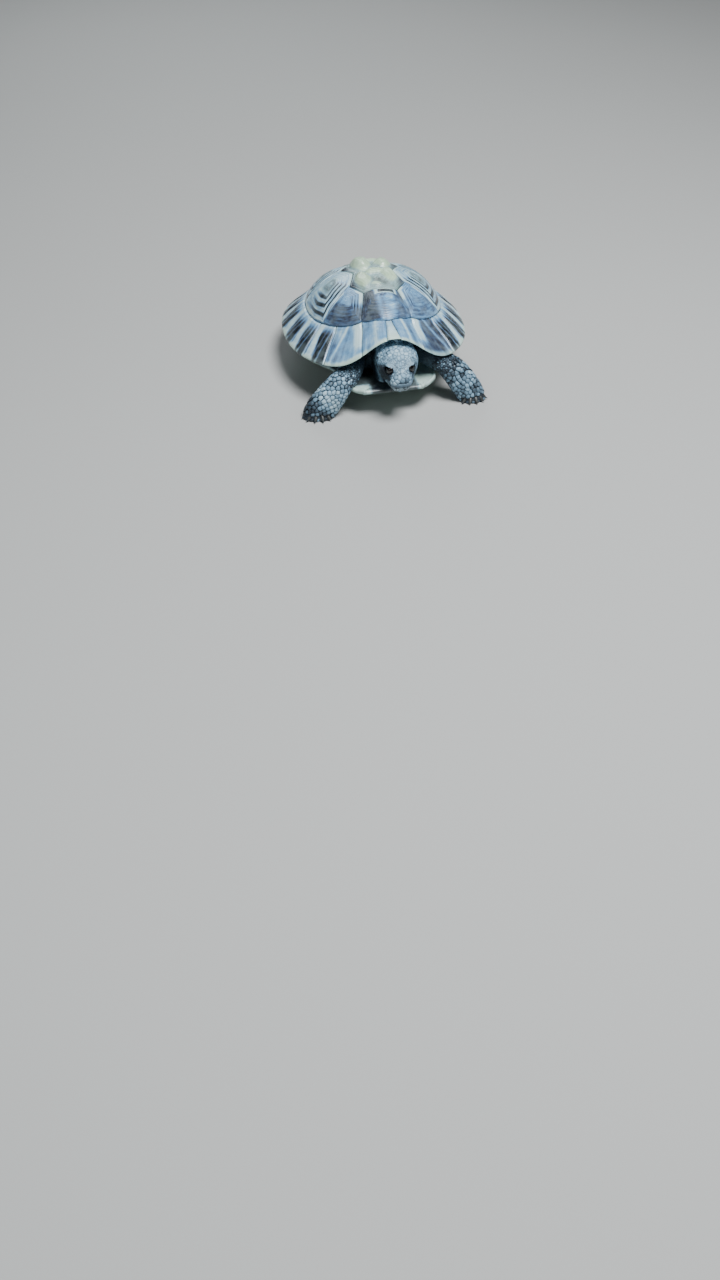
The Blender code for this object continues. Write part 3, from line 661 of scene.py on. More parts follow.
@dataclass(frozen=True)
class ScutePlan:
    """Where the seams of the horn scutes run on the disc. Angles are in degrees."""

    marginal_inner: Tuple[float, ...] = (1.6, 22, 47, 65, 81, 96, 110, 123, 136, 148, 159, 170, 180)
    marginal_rim: Tuple[float, ...] = (3.2, 18, 44, 63, 80, 95, 109, 122, 135, 147, 159, 171, 180)
    border: Tuple[Tuple[float, float], ...] = ((0, 0.765), (22, 0.645), (35, 0.670), (50, 0.700),
                                               (70, 0.730), (90, 0.745), (180, 0.750))
    vertebral_seams: Tuple[float, ...] = (-0.27, 0.03, 0.30, 0.52)
    vertebral_half: Tuple[float, ...] = (0.145, 0.165, 0.150, 0.115)
    vertebral_corners: Tuple[Tuple[float, float], ...] = ((0.245, -0.130), (0.255, 0.160), (0.215, 0.410))
    costal_angles: Tuple[float, ...] = (22.0, 62.0, 97.0, 130.0, 160.0)
    arc_step: float = 2.5
    rim_steps: int = 8

    def border_rho(self, angle: Array) -> Array:
        """Return the radius of the seam round the inner scutes at an angle or at several."""
        return np.interp(np.abs(angle), *zip(*self.border))

    def border_arc(self, start: float, end: float) -> List[Vector]:
        """Return points of that seam.

        Args:
            start: The angle of the first point.
            end: The angle of the last.

        Returns:
            The points, the two ends included.
        """
        steps = max(2, round(abs(end - start) / self.arc_step))
        angles = [start + (end - start) * i / steps for i in range(steps + 1)]
        return [polar(a, float(self.border_rho(a))) for a in angles]

    def rim_arc(self, start: float, end: float) -> List[Vector]:
        """Return points of the rim from one angle to another, both included."""
        return [polar(start + (end - start) * i / self.rim_steps, 1.0) for i in range(self.rim_steps + 1)]

    def vertebral_side(self, index: int) -> List[Vector]:
        """Return the left corners of one vertebral scute.

        Args:
            index: Its place in the row, from 0 in front.

        Returns:
            The corners, front to rear.
        """
        ends = (self.marginal_inner[1], self.costal_angles[4])
        front, rear = (polar(a, float(self.border_rho(a))) for a in ends)
        seams = [Vector(p) for p in zip(self.vertebral_half, self.vertebral_seams)]
        corners = [Vector(c) for c in self.vertebral_corners]
        return ([front, seams[0]], [seams[0], corners[0], seams[1]], [seams[1], corners[1], seams[2]],
                [seams[2], corners[2], seams[3]], [seams[3], rear])[index]

    def vertebral(self, index: int) -> List[Vector]:
        """Return one vertebral scute's outline.

        Args:
            index: Its place in the row, from 0 in front.

        Returns:
            The corners of both sides.
        """
        left = list(self.vertebral_side(index))
        if index == 0:
            left = self.border_arc(0.0, self.marginal_inner[1])[:-1] + left
        else:
            left.insert(0, Vector((0.0, self.vertebral_seams[index - 1])))
        if index == 4:
            left += self.border_arc(self.costal_angles[4], 180.0)[1:]
        else:
            left.append(Vector((0.0, self.vertebral_seams[index])))
        return left + [Vector((-p.x, p.y)) for p in left[1:-1]][::-1]

    def costal(self, index: int) -> List[Vector]:
        """Return the outline of one costal scute of the left side.

        Args:
            index: Its place in the row, from 0 in front.

        Returns:
            The corners.
        """
        outline = self.border_arc(self.costal_angles[index], self.costal_angles[index + 1])
        corners = [self.vertebral_side(i)[1] for i in (1, 2, 3)]
        inner = self.vertebral_side(index)[-1]
        outline += [corners[index], inner] if index < 3 else [self.vertebral_side(4)[0]]
        return outline + corners[index - 1:index] if index else outline

    def marginal(self, index: int) -> List[Vector]:
        """Return the outline of one marginal scute of the left side; the twelfth is the supracaudal."""
        rim = self.rim_arc(self.marginal_rim[index], self.marginal_rim[index + 1])
        return rim + self.border_arc(self.marginal_inner[index + 1], self.marginal_inner[index])

    def nuchal(self) -> List[Vector]:
        """Return the outline of the narrow scute over the neck."""
        rim, inner = self.marginal_rim[0], self.marginal_inner[0]
        return self.rim_arc(-rim, rim) + self.border_arc(inner, -inner)


PLAN = ScutePlan()

# The lumps of each raised scute: where they stand on the disc, their half widths there and their height.
KNOB_LUMPS: Dict[str, Tuple[Tuple[float, ...], ...]] = {
    "shell_vertebral_2": ((-0.115, -0.115, 0.080, 0.120, 0.0026), (0.115, -0.060, 0.085, 0.120, 0.0024),
                          (0.010, -0.010, 0.090, 0.060, 0.0020), (-0.020, -0.215, 0.060, 0.040, 0.0010)),
    "shell_vertebral_3": ((-0.075, 0.140, 0.080, 0.105, 0.0042), (0.095, 0.140, 0.075, 0.095, 0.0030),
                          (0.005, 0.240, 0.110, 0.055, 0.0018)),
    "shell_vertebral_4": ((-0.050, 0.410, 0.060, 0.075, 0.0021), (0.060, 0.395, 0.055, 0.065, 0.0016))}
# No relief stands higher than these over the smooth shell, and no other scute's higher than RELIEF_TOP.
KNOB_TOPS: Dict[str, float] = {"shell_vertebral_2": 0.0029, "shell_vertebral_3": 0.0044,
                               "shell_vertebral_4": 0.0024}
RELIEF_TOP = 0.0021
MERGE = 0.000002


class ScuteKind(Enum):
    """The kinds of shell scute, which differ in relief and in their markings."""

    NUCHAL = "nuchal"
    MARGINAL = "marginal"
    COSTAL = "costal"
    VERTEBRAL = "vertebral"
    KNOB = "knob"


@dataclass
class Scute:
    """One horn scute: its outline and growth centre on the disc, and how its surface is shaped."""

    name: str
    kind: ScuteKind
    outline: List[Vector]
    growth: Tuple[float, float]
    order: int = 1
    side: int = 1
    columns: int = 132
    rows: int = 46
    seam_gap: float = 0.0014
    ring_count: int = 8
    ring_depth: float = 0.00015
    seed: float = 0.0
    under_rows: int = 3
    horn_thickness: float = 0.0010
    groove_depth: float = 0.00065
    share: Array = field(default_factory=lambda: np.zeros(0))
    disc: Array = field(default_factory=lambda: np.zeros((0, 2)))

    def edge(self) -> Array:
        """Draw the outline in by the seam's half width and sample it evenly.

        Returns:
            A row of (u, v) for each column.
        """
        points = self.outline
        if sum(a.x * b.y - b.x * a.y for a, b in zip(points, points[1:] + points[:1])) < 0:
            points = points[::-1]
        inner = []
        for before, here, after in zip(points[-1:] + points[:-1], points, points[1:] + points[:1]):
            ins, outs = (here - before).normalized(), (after - here).normalized()
            normal_in, normal_out = Vector((-ins.y, ins.x)), Vector((-outs.y, outs.x))
            bisector = (normal_in + normal_out).normalized()
            inner.append(here + bisector * self.seam_gap / max(bisector.dot(normal_in), 0.45))
        ring = np.array([tuple(p) for p in inner + inner[:1]])
        lengths = np.concatenate([[0.0], np.cumsum(np.linalg.norm(np.diff(ring, axis=0), axis=1))])
        at = np.arange(self.columns) / self.columns * lengths[-1]
        return np.stack([np.interp(at, lengths, ring[:, k]) for k in (0, 1)], axis=1)

    def thickness(self, rho: Array) -> Array:
        """Return how thick the horn is at radii of the disc: thickest just inside the rim."""
        return self.horn_thickness + 0.0009 * ramp01(rho, 0.76, 0.85) - 0.0005 * ramp01(rho, 0.92, 1.0)

    def relief(self) -> Array:
        """Work out the grooves, growth rings and lumps of the top surface.

        Returns:
            How high each sample lies above the shell's smooth surface.
        """
        share, near = self.share, 1 - self.share
        uneven = flat_cloud(*self.disc.T, 9.0, self.seed, self.seed)
        rho = np.hypot(self.disc[:, 0], self.disc[:, 1])
        reach = {ScuteKind.MARGINAL: 0.13, ScuteKind.NUCHAL: 0.5}.get(self.kind, 0.062)
        groove = 1 - ramp01(near, 0.0, reach)
        at_rim = ramp01(rho, 0.90, 0.99)
        lift = -groove**1.6 * (self.groove_depth - 0.0003 * at_rim)
        if self.kind in (ScuteKind.COSTAL, ScuteKind.VERTEBRAL):
            lift += 0.0007 * ramp01(near, 0.02, 0.75)
        if self.kind is ScuteKind.KNOB:
            lift += 0.0004 * ramp01(near, 0.02, 0.30) + self.lumps() * ramp01(near, 0.04, 0.30)
        if self.kind is ScuteKind.MARGINAL:
            lift += 0.0003 * bump01(near, 0.4, 0.4) - 0.0006 * at_rim
        start = 0.30 if self.kind is not ScuteKind.MARGINAL else 0.12
        ring = (share - start) / (1 - start) * self.ring_count + 0.22 * uneven
        wave = np.abs(np.sin(math.pi * ring)) ** 0.75
        present = ramp01(share, start - 0.05, start + 0.12) * (1 - 0.75 * groove)
        lift += self.ring_depth * (wave - 0.6) * present * (0.75 + 0.5 * uneven)
        areola = 1 - ramp01(share, start - 0.14, start + 0.02)
        lift += areola * 0.00010 * flat_cloud(*self.disc.T, 70.0, 3.0)
        lift += 0.00018 * uneven * ramp01(near, 0.03, 0.2)
        return np.minimum(lift, KNOB_TOPS.get(self.name, RELIEF_TOP))

    def lumps(self) -> Array:
        """Work out a raised scute's lumps.

        Returns:
            How high they stand at each sample.
        """
        sway = 0.020 * flat_cloud(*self.disc.T, 11.0, self.seed)
        height = np.zeros(len(self.share))
        for u, v, half_u, half_v, top in KNOB_LUMPS[self.name]:
            far = np.hypot((self.disc[:, 0] - u + sway) / half_u, (self.disc[:, 1] - v + sway) / half_v)
            height = np.maximum(height, top * (1 - ramp01(far, 0.25, 1.25)))
        return height + 0.00016 * flat_cloud(*self.disc.T, 34.0, self.seed)

    def shape(self) -> Shape:
        """Return the scute as a closed bmesh.

        A grid is wrapped round the growth centre: its rows run from the middle of the under face out to the
        edge and back over the top to the middle.

        Returns:
            The bmesh.
        """
        under = self.under_rows
        bm, across, along = grid(self.columns, self.rows + under)
        column = np.rint(across * self.columns).astype(int) % self.columns
        row = np.rint(along * (self.rows + under)).astype(int)
        top = row - under
        share = np.where(top >= 0, 1 - top / self.rows, row / under)
        hub, edge = np.array(self.growth), self.edge()
        self.share = share
        self.disc = hub + (edge[column] - hub) * share[:, None]
        thick = self.thickness(np.hypot(self.disc[:, 0], self.disc[:, 1]))
        lift = np.where(top >= 0, np.maximum(self.relief(), 0.0001 - thick), -thick)
        for vertex, place in zip(bm.verts, SHELL.point(self.disc, lift)):
            vertex.co = place
        return bm

    def build(self, finish: Material) -> Piece:
        """Build the scute as a piece that stands for its CAD node.

        Args:
            finish: The horn's material.

        Returns:
            The piece.
        """
        bm = self.shape()
        for name, values in ShellMarkings(self).paint().items():
            mark(bm, name, values)
        streak = bm.verts.layers.float_vector.new("streak")
        for vertex, lie in zip(bm.verts, self.streaks()):
            vertex[streak] = lie
        face_out(bm, MERGE)
        return settle(self.name + "_horn", bm, finish, [self.name])

    def streaks(self) -> Array:
        """Stretch the horn's streaks along the way it grew.

        Returns:
            The coordinates that they read, one row for each sample.
        """
        u, v = self.disc.T
        rho, theta = np.hypot(u, v), np.degrees(np.arctan2(u, -v))
        if self.kind in (ScuteKind.MARGINAL, ScuteKind.NUCHAL):
            return np.column_stack([theta * 0.30, rho * 3.0, np.full(len(rho), self.seed)])
        return np.column_stack([u * 11, v * 11, self.share * 13.0 + self.seed])


@dataclass
class ShellMarkings:
    """The pattern of one scute: how dark its markings are, with painted shade between the raised scutes'
    lumps, and how much cream lies where.
    """

    scute: Scute
    seam_pigment: float = 0.10
    mid_brim: float = 0.66

    def __post_init__(self) -> None:
        """Work out where the scute's samples lie, as if it were one of the left side."""
        self.left_side = self.scute.side > 0
        self.share = self.scute.share
        self.u, self.v = self.scute.disc[:, 0] * self.scute.side, self.scute.disc[:, 1]
        self.rho, self.theta = np.hypot(self.u, self.v), np.degrees(np.arctan2(self.u, -self.v))

    def paint(self) -> Dict[str, Array]:
        """Return the markings.

        Returns:
            Pigment with painted shade in places (0 pale, 1 black), cream (0 or 1) and growth (the share of
            the outline).
        """
        kind, share = self.scute.kind, self.share
        rule = {ScuteKind.NUCHAL: self.nuchal, ScuteKind.MARGINAL: self.marginal,
                ScuteKind.COSTAL: self.costal, ScuteKind.VERTEBRAL: self.vertebral,
                ScuteKind.KNOB: self.knob}[kind]
        pigment, cream = rule()
        seam = ramp01(share, 0.96 if kind is ScuteKind.MARGINAL else 0.985, 1.0)
        return {"pigment": np.clip(pigment + self.seam_pigment * seam, 0, 1), "cream": np.clip(cream, 0, 1),
                "growth": share}

    def nuchal(self) -> Tuple[Array, Array]:
        """Pale strip, palest and a little cream at the rim."""
        return 0.20 - 0.16 * ramp01(self.rho, 0.78, 0.98), 0.5 * ramp01(self.rho, 0.88, 1.0)

    def across_brim(self) -> Array:
        """Measure a marginal scute from its front seam (0) to its rear one (1).

        Returns:
            How far across it each sample lies.
        """
        index = self.scute.order - 1
        front, rear = (np.interp(self.rho, [self.mid_brim, 1.0],
                                 [PLAN.marginal_inner[i], PLAN.marginal_rim[i]])
                       for i in (index, index + 1))
        return (self.theta - front) / (rear - front)

    def marginal(self) -> Tuple[Array, Array]:
        """Dark front part that narrows to the rim, pale rear part, pale inner border and lower edge.

        Returns:
            Pigment and cream.
        """
        index, rho, across = self.scute.order - 1, self.rho, self.across_brim()
        out = rho - self.mid_brim
        border = PLAN.border_rho(self.theta)
        pale_inner = 1 - ramp01(rho, border + 0.015, border + 0.115)
        wander = flat_cloud(self.u, self.v, 7.0, self.scute.seed)
        low_edge = ramp01(rho + 0.012 * wander, 0.955, 0.995)
        cream = 0.5 * low_edge
        if index == 0:
            pigment = 0.33 + 0.10 * bump01(across, 0.62, 0.16) - 0.20 * bump01(across, 0.40, 0.10)
            pigment -= 0.30 * ramp01(across, 0.90, 1.0) * (1 - ramp01(rho, 0.70, 0.95))
            return pigment - 0.30 * low_edge * (0.5 + 0.5 * ramp01(np.abs(across - 0.5), 0.15, 0.45)), cream
        if index == 1:
            wedge = (1 - ramp01(across, 0.22 - 0.5 * out, 0.38 - 0.5 * out)) * (1 - ramp01(rho, 0.84, 0.98))
            diagonal = bump01(across - 0.50 - out * 1.1, 0.0, 0.055)
            body, rear_shade = (0.66, 0.10) if self.left_side else (0.34, 0.30)
            pigment = body - (body - 0.04) * wedge - 0.34 * ramp01(across, 0.88, 0.99)
            pigment += rear_shade * ramp01(across, 0.55, 0.80) * ramp01(rho, 0.74, 0.86)
            return pigment - 0.36 * diagonal - 0.42 * low_edge, cream
        reach = 0.66 - 0.35 * out + 0.05 * wander
        dark = (1 - ramp01(across, reach - 0.06, reach + 0.10)) * ramp01(across, -0.02, 0.10)
        slant = across - 0.9 * (rho - 0.82)
        stripe = bump01(slant, 0.22, 0.045) + 0.8 * bump01(slant, 0.44, 0.035)
        rear = bump01(across, 0.93, 0.05) * 0.40 * ramp01(rho, border + 0.10, border + 0.2)
        pigment = 0.10 + (0.98 - 0.60 * stripe) * dark * (1 - 0.88 * pale_inner) + rear
        return pigment - 0.55 * low_edge * (0.35 + 0.65 * ramp01(across, 0.3, 0.7)), cream

    @staticmethod
    def rings(share: Array, count: float, start: float) -> Array:
        """Return growth rings: waves from 0 to 1, so many from hub to outline, moved by a share of one."""
        return 0.5 + 0.5 * np.cos(2 * math.pi * (count * share + start))

    def costal(self) -> Tuple[Array, Array]:
        """Dark outer and front parts with growth lines, pale seams and a paler middle.

        Returns:
            Pigment and cream.
        """
        s, share, rho = self.scute, self.share, self.rho
        hub = np.array(s.growth) * [s.side, 1]
        toward = np.degrees(np.arctan2(self.u - hub[0], -(self.v - hub[1])))
        border = PLAN.border_rho(self.theta)
        pale_rim = 0.15 * ramp01(rho, border - 0.040, border - 0.006)
        far = ramp01(share, 0.22, 0.42)
        lines = self.rings(share, s.ring_count, 0.2) * far
        if s.order == 1:
            deep, arc_depth = (0.11, 0.30) if self.left_side else (0.29, 0.60)
            arcs = self.rings(share, 5.0, 0.35) ** 3
            arcs *= ramp01(share, 0.26, 0.40) * (1 - ramp01(rho, 0.46, 0.52)) * bump01(toward, 8.0, 80.0)
            toward_middle = ramp01(share, 0.74, 0.86) * bump01(toward, -78.0, 34.0)
            rear = ramp01(share, 0.76, 0.88) * bump01(toward, 128.0, 42.0)
            pigment = 0.34 + deep * ramp01(rho, 0.42, 0.52) + 0.08 * lines + arc_depth * arcs
            return pigment - 0.80 * toward_middle - 0.62 * rear - pale_rim, 0.15 * toward_middle
        ahead = ramp01(np.cos(np.radians(toward - 14.0)), 0.05, 0.75)
        wander = 0.035 * flat_cloud(self.u, self.v, 9.0, s.seed)
        bands = ramp01(self.rings(share + wander, 4.6, 0.35), 0.30, 0.80)
        pigment = 0.16 + 0.10 * lines + 0.80 * bands * far * ahead
        pigment += 0.40 * bump01(share, 0.16, 0.10) - 0.50 * ramp01(share, 0.90, 0.98)
        return pigment - pale_rim, 0.30 * (1 - far) + 0.10

    def vertebral(self) -> Tuple[Array, Array]:
        """Blue-grey middle, duskier flanks, and a dark patch at the seam with the next scute.

        Returns:
            Pigment and cream.
        """
        u, v, share = self.u, self.v, self.share
        if self.scute.order == 5:
            return 0.22 + 0.55 * ramp01(share, 0.4, 0.75) - 0.65 * ramp01(share, 0.86, 0.97), 0.2 + u * 0
        flank = ramp01(-u, 0.030, 0.085) + 0.52 * ramp01(u, 0.055, 0.105)
        flank *= 1 - ramp01(share, 0.95, 1.0)
        pigment = 0.33 + 0.38 * flank + 0.05 * ramp01(-v, 0.40, 0.60) - 0.06 * bump01(u, 0.065, 0.025)
        pigment += 0.16 * bump01(u, -0.010, 0.014) + 0.12 * ramp01(v, -0.42, -0.36)
        patch = np.maximum(np.abs(u - 0.035) / 0.066, np.abs(v + 0.312) / 0.030)
        pale_frame = bump01(patch, 1.14, 0.20)
        pigment += 0.75 * (1 - ramp01(patch, 0.80, 1.0)) - 0.70 * pale_frame
        return pigment - 0.10 * ramp01(self.rho, 0.68, 0.76), 0.3 * pale_frame

    def knob(self) -> Tuple[Array, Array]:
        """Cream raised scute with a greenish cast, grey with painted shade in the valleys and hollows
        between its lumps, and darker at its sides.

        Returns:
            Pigment with painted shade, and cream.
        """
        u, v, share = self.u, self.v, self.share
        # Painted shade: the valleys between the lumps, and two hollows between them, are darker and less
        # cream.
        valley_shade = 1 - ramp01(self.scute.lumps(), 0.0002, 0.0013)
        side = ramp01(np.abs(u), 0.15, 0.23) * ramp01(share, 0.55, 0.85) * (1 - ramp01(share, 0.95, 1.0))
        hollow_shade = bump01(np.hypot((u - 0.012) / 0.030, (v + 0.150) / 0.022), 0.0, 1.3)
        hollow_shade += 0.8 * bump01(np.hypot((u - 0.050) / 0.030, (v + 0.195) / 0.016), 0.0, 1.2)
        pigment = 0.06 + 0.42 * side + 0.36 * valley_shade + 0.42 * hollow_shade
        return pigment, 0.95 - 0.6 * side - 0.35 * valley_shade


@dataclass(frozen=True)
class ShellHorn:
    """All the horn scutes of the upper shell, with the bed of bone that shows in their seams."""

    finish: Material
    bone: Material
    costal_hubs: Tuple[Tuple[float, float], ...] = ((0.30, -0.27), (0.37, 0.00), (0.35, 0.26), (0.26, 0.47))
    vertebral_hubs: Tuple[float, ...] = (-0.34, -0.11, 0.18, 0.42, 0.60)
    marginal_hub: Tuple[float, float] = (0.58, 0.935)
    bed_columns: int = 96
    bed_rows: int = 30
    bed_rim: float = 0.012
    bed_faces: Tuple[float, float] = (-0.0019, -0.00108)

    def plan(self) -> List[Scute]:
        """Plan every scute.

        Returns:
            The scutes, not built yet.
        """
        made = [Scute("shell_nuchal", ScuteKind.NUCHAL, PLAN.nuchal(), tuple(polar(0.0, 0.93)), columns=72,
                      rows=26, ring_count=5, seed=0.4)]
        for index in range(12):
            to_rear, rho = self.marginal_hub
            seams = PLAN.marginal_rim[index:index + 2]
            hub = polar(seams[0] * (1 - to_rear) + seams[1] * to_rear, rho)
            label = "shell_marginal_{}_%02d" % (index + 1) if index < 11 else "shell_supracaudal_{}"
            made += self.pair(label, ScuteKind.MARGINAL, PLAN.marginal(index), hub, index + 1, 84, 34, 6)
        for index, hub in enumerate(self.costal_hubs):
            made += self.pair("shell_costal_{}_%d" % (index + 1), ScuteKind.COSTAL, PLAN.costal(index),
                              Vector(hub), index + 1, 144, 56, 7)
        for index, growth in enumerate(self.vertebral_hubs):
            kind = ScuteKind.KNOB if index in (1, 2, 3) else ScuteKind.VERTEBRAL
            made.append(Scute(f"shell_vertebral_{index + 1}", kind, PLAN.vertebral(index), (0.0, growth),
                              index + 1, columns=144, rows=56, ring_count=8, ring_depth=0.00022,
                              seed=4.0 + index))
        return made

    @staticmethod
    def pair(label: str, kind: ScuteKind, outline: List[Vector], hub: Vector, order: int, columns: int,
             rows: int, rings: int) -> List[Scute]:
        """Return a scute of the left side and its mirror image.

        Args:
            label: The CAD node's name, with a place for the side.
            kind: The kind of scute.
            outline: The left scute's outline.
            hub: Its growth centre.
            order: Its place in its row, from 1.
            columns: Samples round it.
            rows: Samples from edge to centre.
            rings: Growth rings.

        Returns:
            The two scutes.
        """
        shared = {"order": order, "columns": columns, "rows": rows, "ring_count": rings}
        seeds = {1: order * 0.9, -1: order * 1.3 + 5}
        return [Scute(label.format(name), kind, [Vector((p.x * side, p.y)) for p in outline],
                      (hub.x * side, hub.y), side=side, seed=seeds[side], **shared) for name, side in SIDES]

    def build_bed(self) -> Piece:
        """Build the thin bone bed under the inner scutes' seams.

        Returns:
            The piece.
        """
        rows = self.bed_rows
        bm, across, along = grid(self.bed_columns, 2 * rows + 1)
        theta = across * 360.0
        turn = np.radians(theta)
        row = np.rint(along * (2 * rows + 1)).astype(int)
        share = np.where(row <= rows, row, 2 * rows + 1 - row) / rows
        border = PLAN.border_rho(180 - np.abs(180 - theta)) + self.bed_rim
        disc = np.column_stack([np.sin(turn), -np.cos(turn)]) * (share * border)[:, None]
        lift = np.where(row <= rows, *self.bed_faces)
        for vertex, place in zip(bm.verts, SHELL.point(disc, lift)):
            vertex.co = place
        face_out(bm, MERGE)
        return settle("shell_bed", bm, self.bone)

    def build(self) -> List[Piece]:
        """Build the scutes and the bed, and return them."""
        return [scute.build(self.finish) for scute in self.plan()] + [self.build_bed()]


# --------------------------------------------------------------------------- the lower shell


@dataclass(frozen=True)
class Plastron:
    """The lower shell: a thin plate with a curved outline, seams between its scutes and dark side bands."""

    bottom: float = 0.0075
    thickness: float = 0.0020
    bridge_start: float = 0.027
    bridge_lift: float = 0.0083
    bridge_power: float = 1.15
    anal_notch: float = 0.0030
    stations: Tuple[Tuple[float, float], ...] = (
        (-0.0533, 0.0140), (-0.0518, 0.0175), (-0.0480, 0.0215), (-0.0440, 0.0243), (-0.0380, 0.0250),
        (-0.0290, 0.0250), (-0.0225, 0.0290), (-0.0190, 0.0385), (-0.0110, 0.0438), (0.0050, 0.0450),
        (0.0160, 0.0425), (0.0200, 0.0310), (0.0270, 0.0225), (0.0380, 0.0210), (0.0440, 0.0172),
        (0.0492, 0.0100))
    seams: Tuple[Tuple[float, float], ...] = ((-0.0425, -0.55), (-0.0262, 0.10), (-0.0178, -0.06),
                                              (0.0165, 0.04), (0.0345, 0.28))
    seam_depth: float = 0.00045
    seam_half: float = 0.00045
    corner_softness: float = 0.0022
    columns: int = 150
    rows: int = 190
    shaded_front: Tuple[float, float] = (-0.0142, 0.0118)
    shaded_depth: float = -0.036
    shaded_top: float = -0.0436

    def seam_nearness(self, x: Array, y: Array) -> Array:
        """Return 1 on a seam between two scutes, falling to 0 beside it."""
        wander = 0.0006 * flat_cloud(x, y, 160.0, 2.0)
        near = [np.abs(x + wander)] + [np.abs(y - at - lean * np.abs(x) + wander) for at, lean in self.seams]
        return bump01(np.min(near, axis=0), 0.0, self.seam_half)

    def build(self, finish: Material) -> Piece:
        """Build the plate over its CAD node.

        Args:
            finish: The horn's material.

        Returns:
            The piece.
        """
        bm, across, along = grid(self.columns, self.rows)
        at_y, half_at = zip(*self.stations)
        y = at_y[0] + (at_y[-1] - at_y[0]) * along
        across = 2 * across - 1
        shifts = np.linspace(-self.corner_softness, self.corner_softness, 9)
        x = sum(np.interp(y + shift, at_y, half_at) for shift in shifts) / len(shifts) * across
        beyond = np.maximum(np.abs(x) - self.bridge_start, 0.0) / (SHELL.width / 2 - self.bridge_start)
        notched = y - self.anal_notch * ramp01(y, 0.040, 0.0492) * (1 - np.abs(across)) ** 2
        seam = self.seam_nearness(x, y)
        rounded = ramp01(np.abs(across), 0.93, 1.0) + ramp01(np.abs(2 * along - 1), 0.975, 1.0)
        bottom = self.bottom + self.bridge_lift * beyond**self.bridge_power + self.seam_depth * seam
        bottom += 0.0008 * np.clip(rounded, 0, 1) + 0.00012 * flat_cloud(x, y, 240.0, 5.0)
        for name, values in self.marks(x, y, seam).items():
            mark(bm, name, values)
        lie = bm.verts.layers.float_vector.new("streak")
        places = SHELL.tilted(np.column_stack([x, notched, bottom]))
        for vertex, place, px, py in zip(bm.verts, places, x, y):
            vertex.co = place
            vertex[lie] = (px * 260, py * 260, 0.0)
        bmesh.ops.reverse_faces(bm, faces=bm.faces)
        bmesh.ops.solidify(bm, geom=bm.faces, thickness=self.thickness)
        face_out(bm)
        self.shade_front(bm)
        return settle("plastron_horn", bm, finish, ["plastron"])

    def shade_front(self, bm: Shape) -> None:
        """Paint shadow on the middle of the front edge, where the head's shadow falls, and on the top face
        behind it on the right, where the arm's shadow falls.

        Args:
            bm: The plate with its walls.
        """
        bm.normal_update()
        x, y, _ = vertex_places(bm).T
        rise = np.array([v.normal.z for v in bm.verts])
        left, right = self.shaded_front
        edge = np.min([(x - left) / 0.0018, (right - x) / 0.0020, (self.shaded_depth - y) / 0.004], axis=0)
        behind = np.clip((y - self.shaded_top) / 0.0020, 0, 1) * ((x < 0) & (rise > 0.3))
        # Painted shadow, written into the layer that the markings use.
        shade = np.maximum(0.92 * np.clip(edge, 0, 1), 0.80 * behind) * (rise > -0.85)
        pigment = bm.verts.layers.float["pigment"]
        for vertex, dark in zip(bm.verts, shade):
            vertex[pigment] = max(vertex[pigment], float(dark))

    def marks(self, x: Array, y: Array, seam: Array) -> Dict[str, Array]:
        """Return pigment, cream and growth for the plate.

        Args:
            x: Distances from the midline.
            y: Distances along it.
            seam: Nearness to a seam.

        Returns:
            The three layers.
        """
        wander = flat_cloud(x, y, 90.0, 7.0)
        band = bump01(np.abs(x) + 0.002 * wander, 0.0155, 0.0065) * ramp01(y, -0.034, -0.022)
        band *= 1 - ramp01(y, 0.034, 0.042)
        broken = 1 - 0.85 * seam
        return {"pigment": np.clip(0.03 + 0.80 * ramp01(band + 0.25 * wander, 0.30, 0.75) * broken, 0, 1),
                "cream": np.full(len(x), 0.45), "growth": (np.abs(x) * 30 + np.abs(y) * 14) % 1.0}


# --------------------------------------------------------------------------- head, skin and limbs


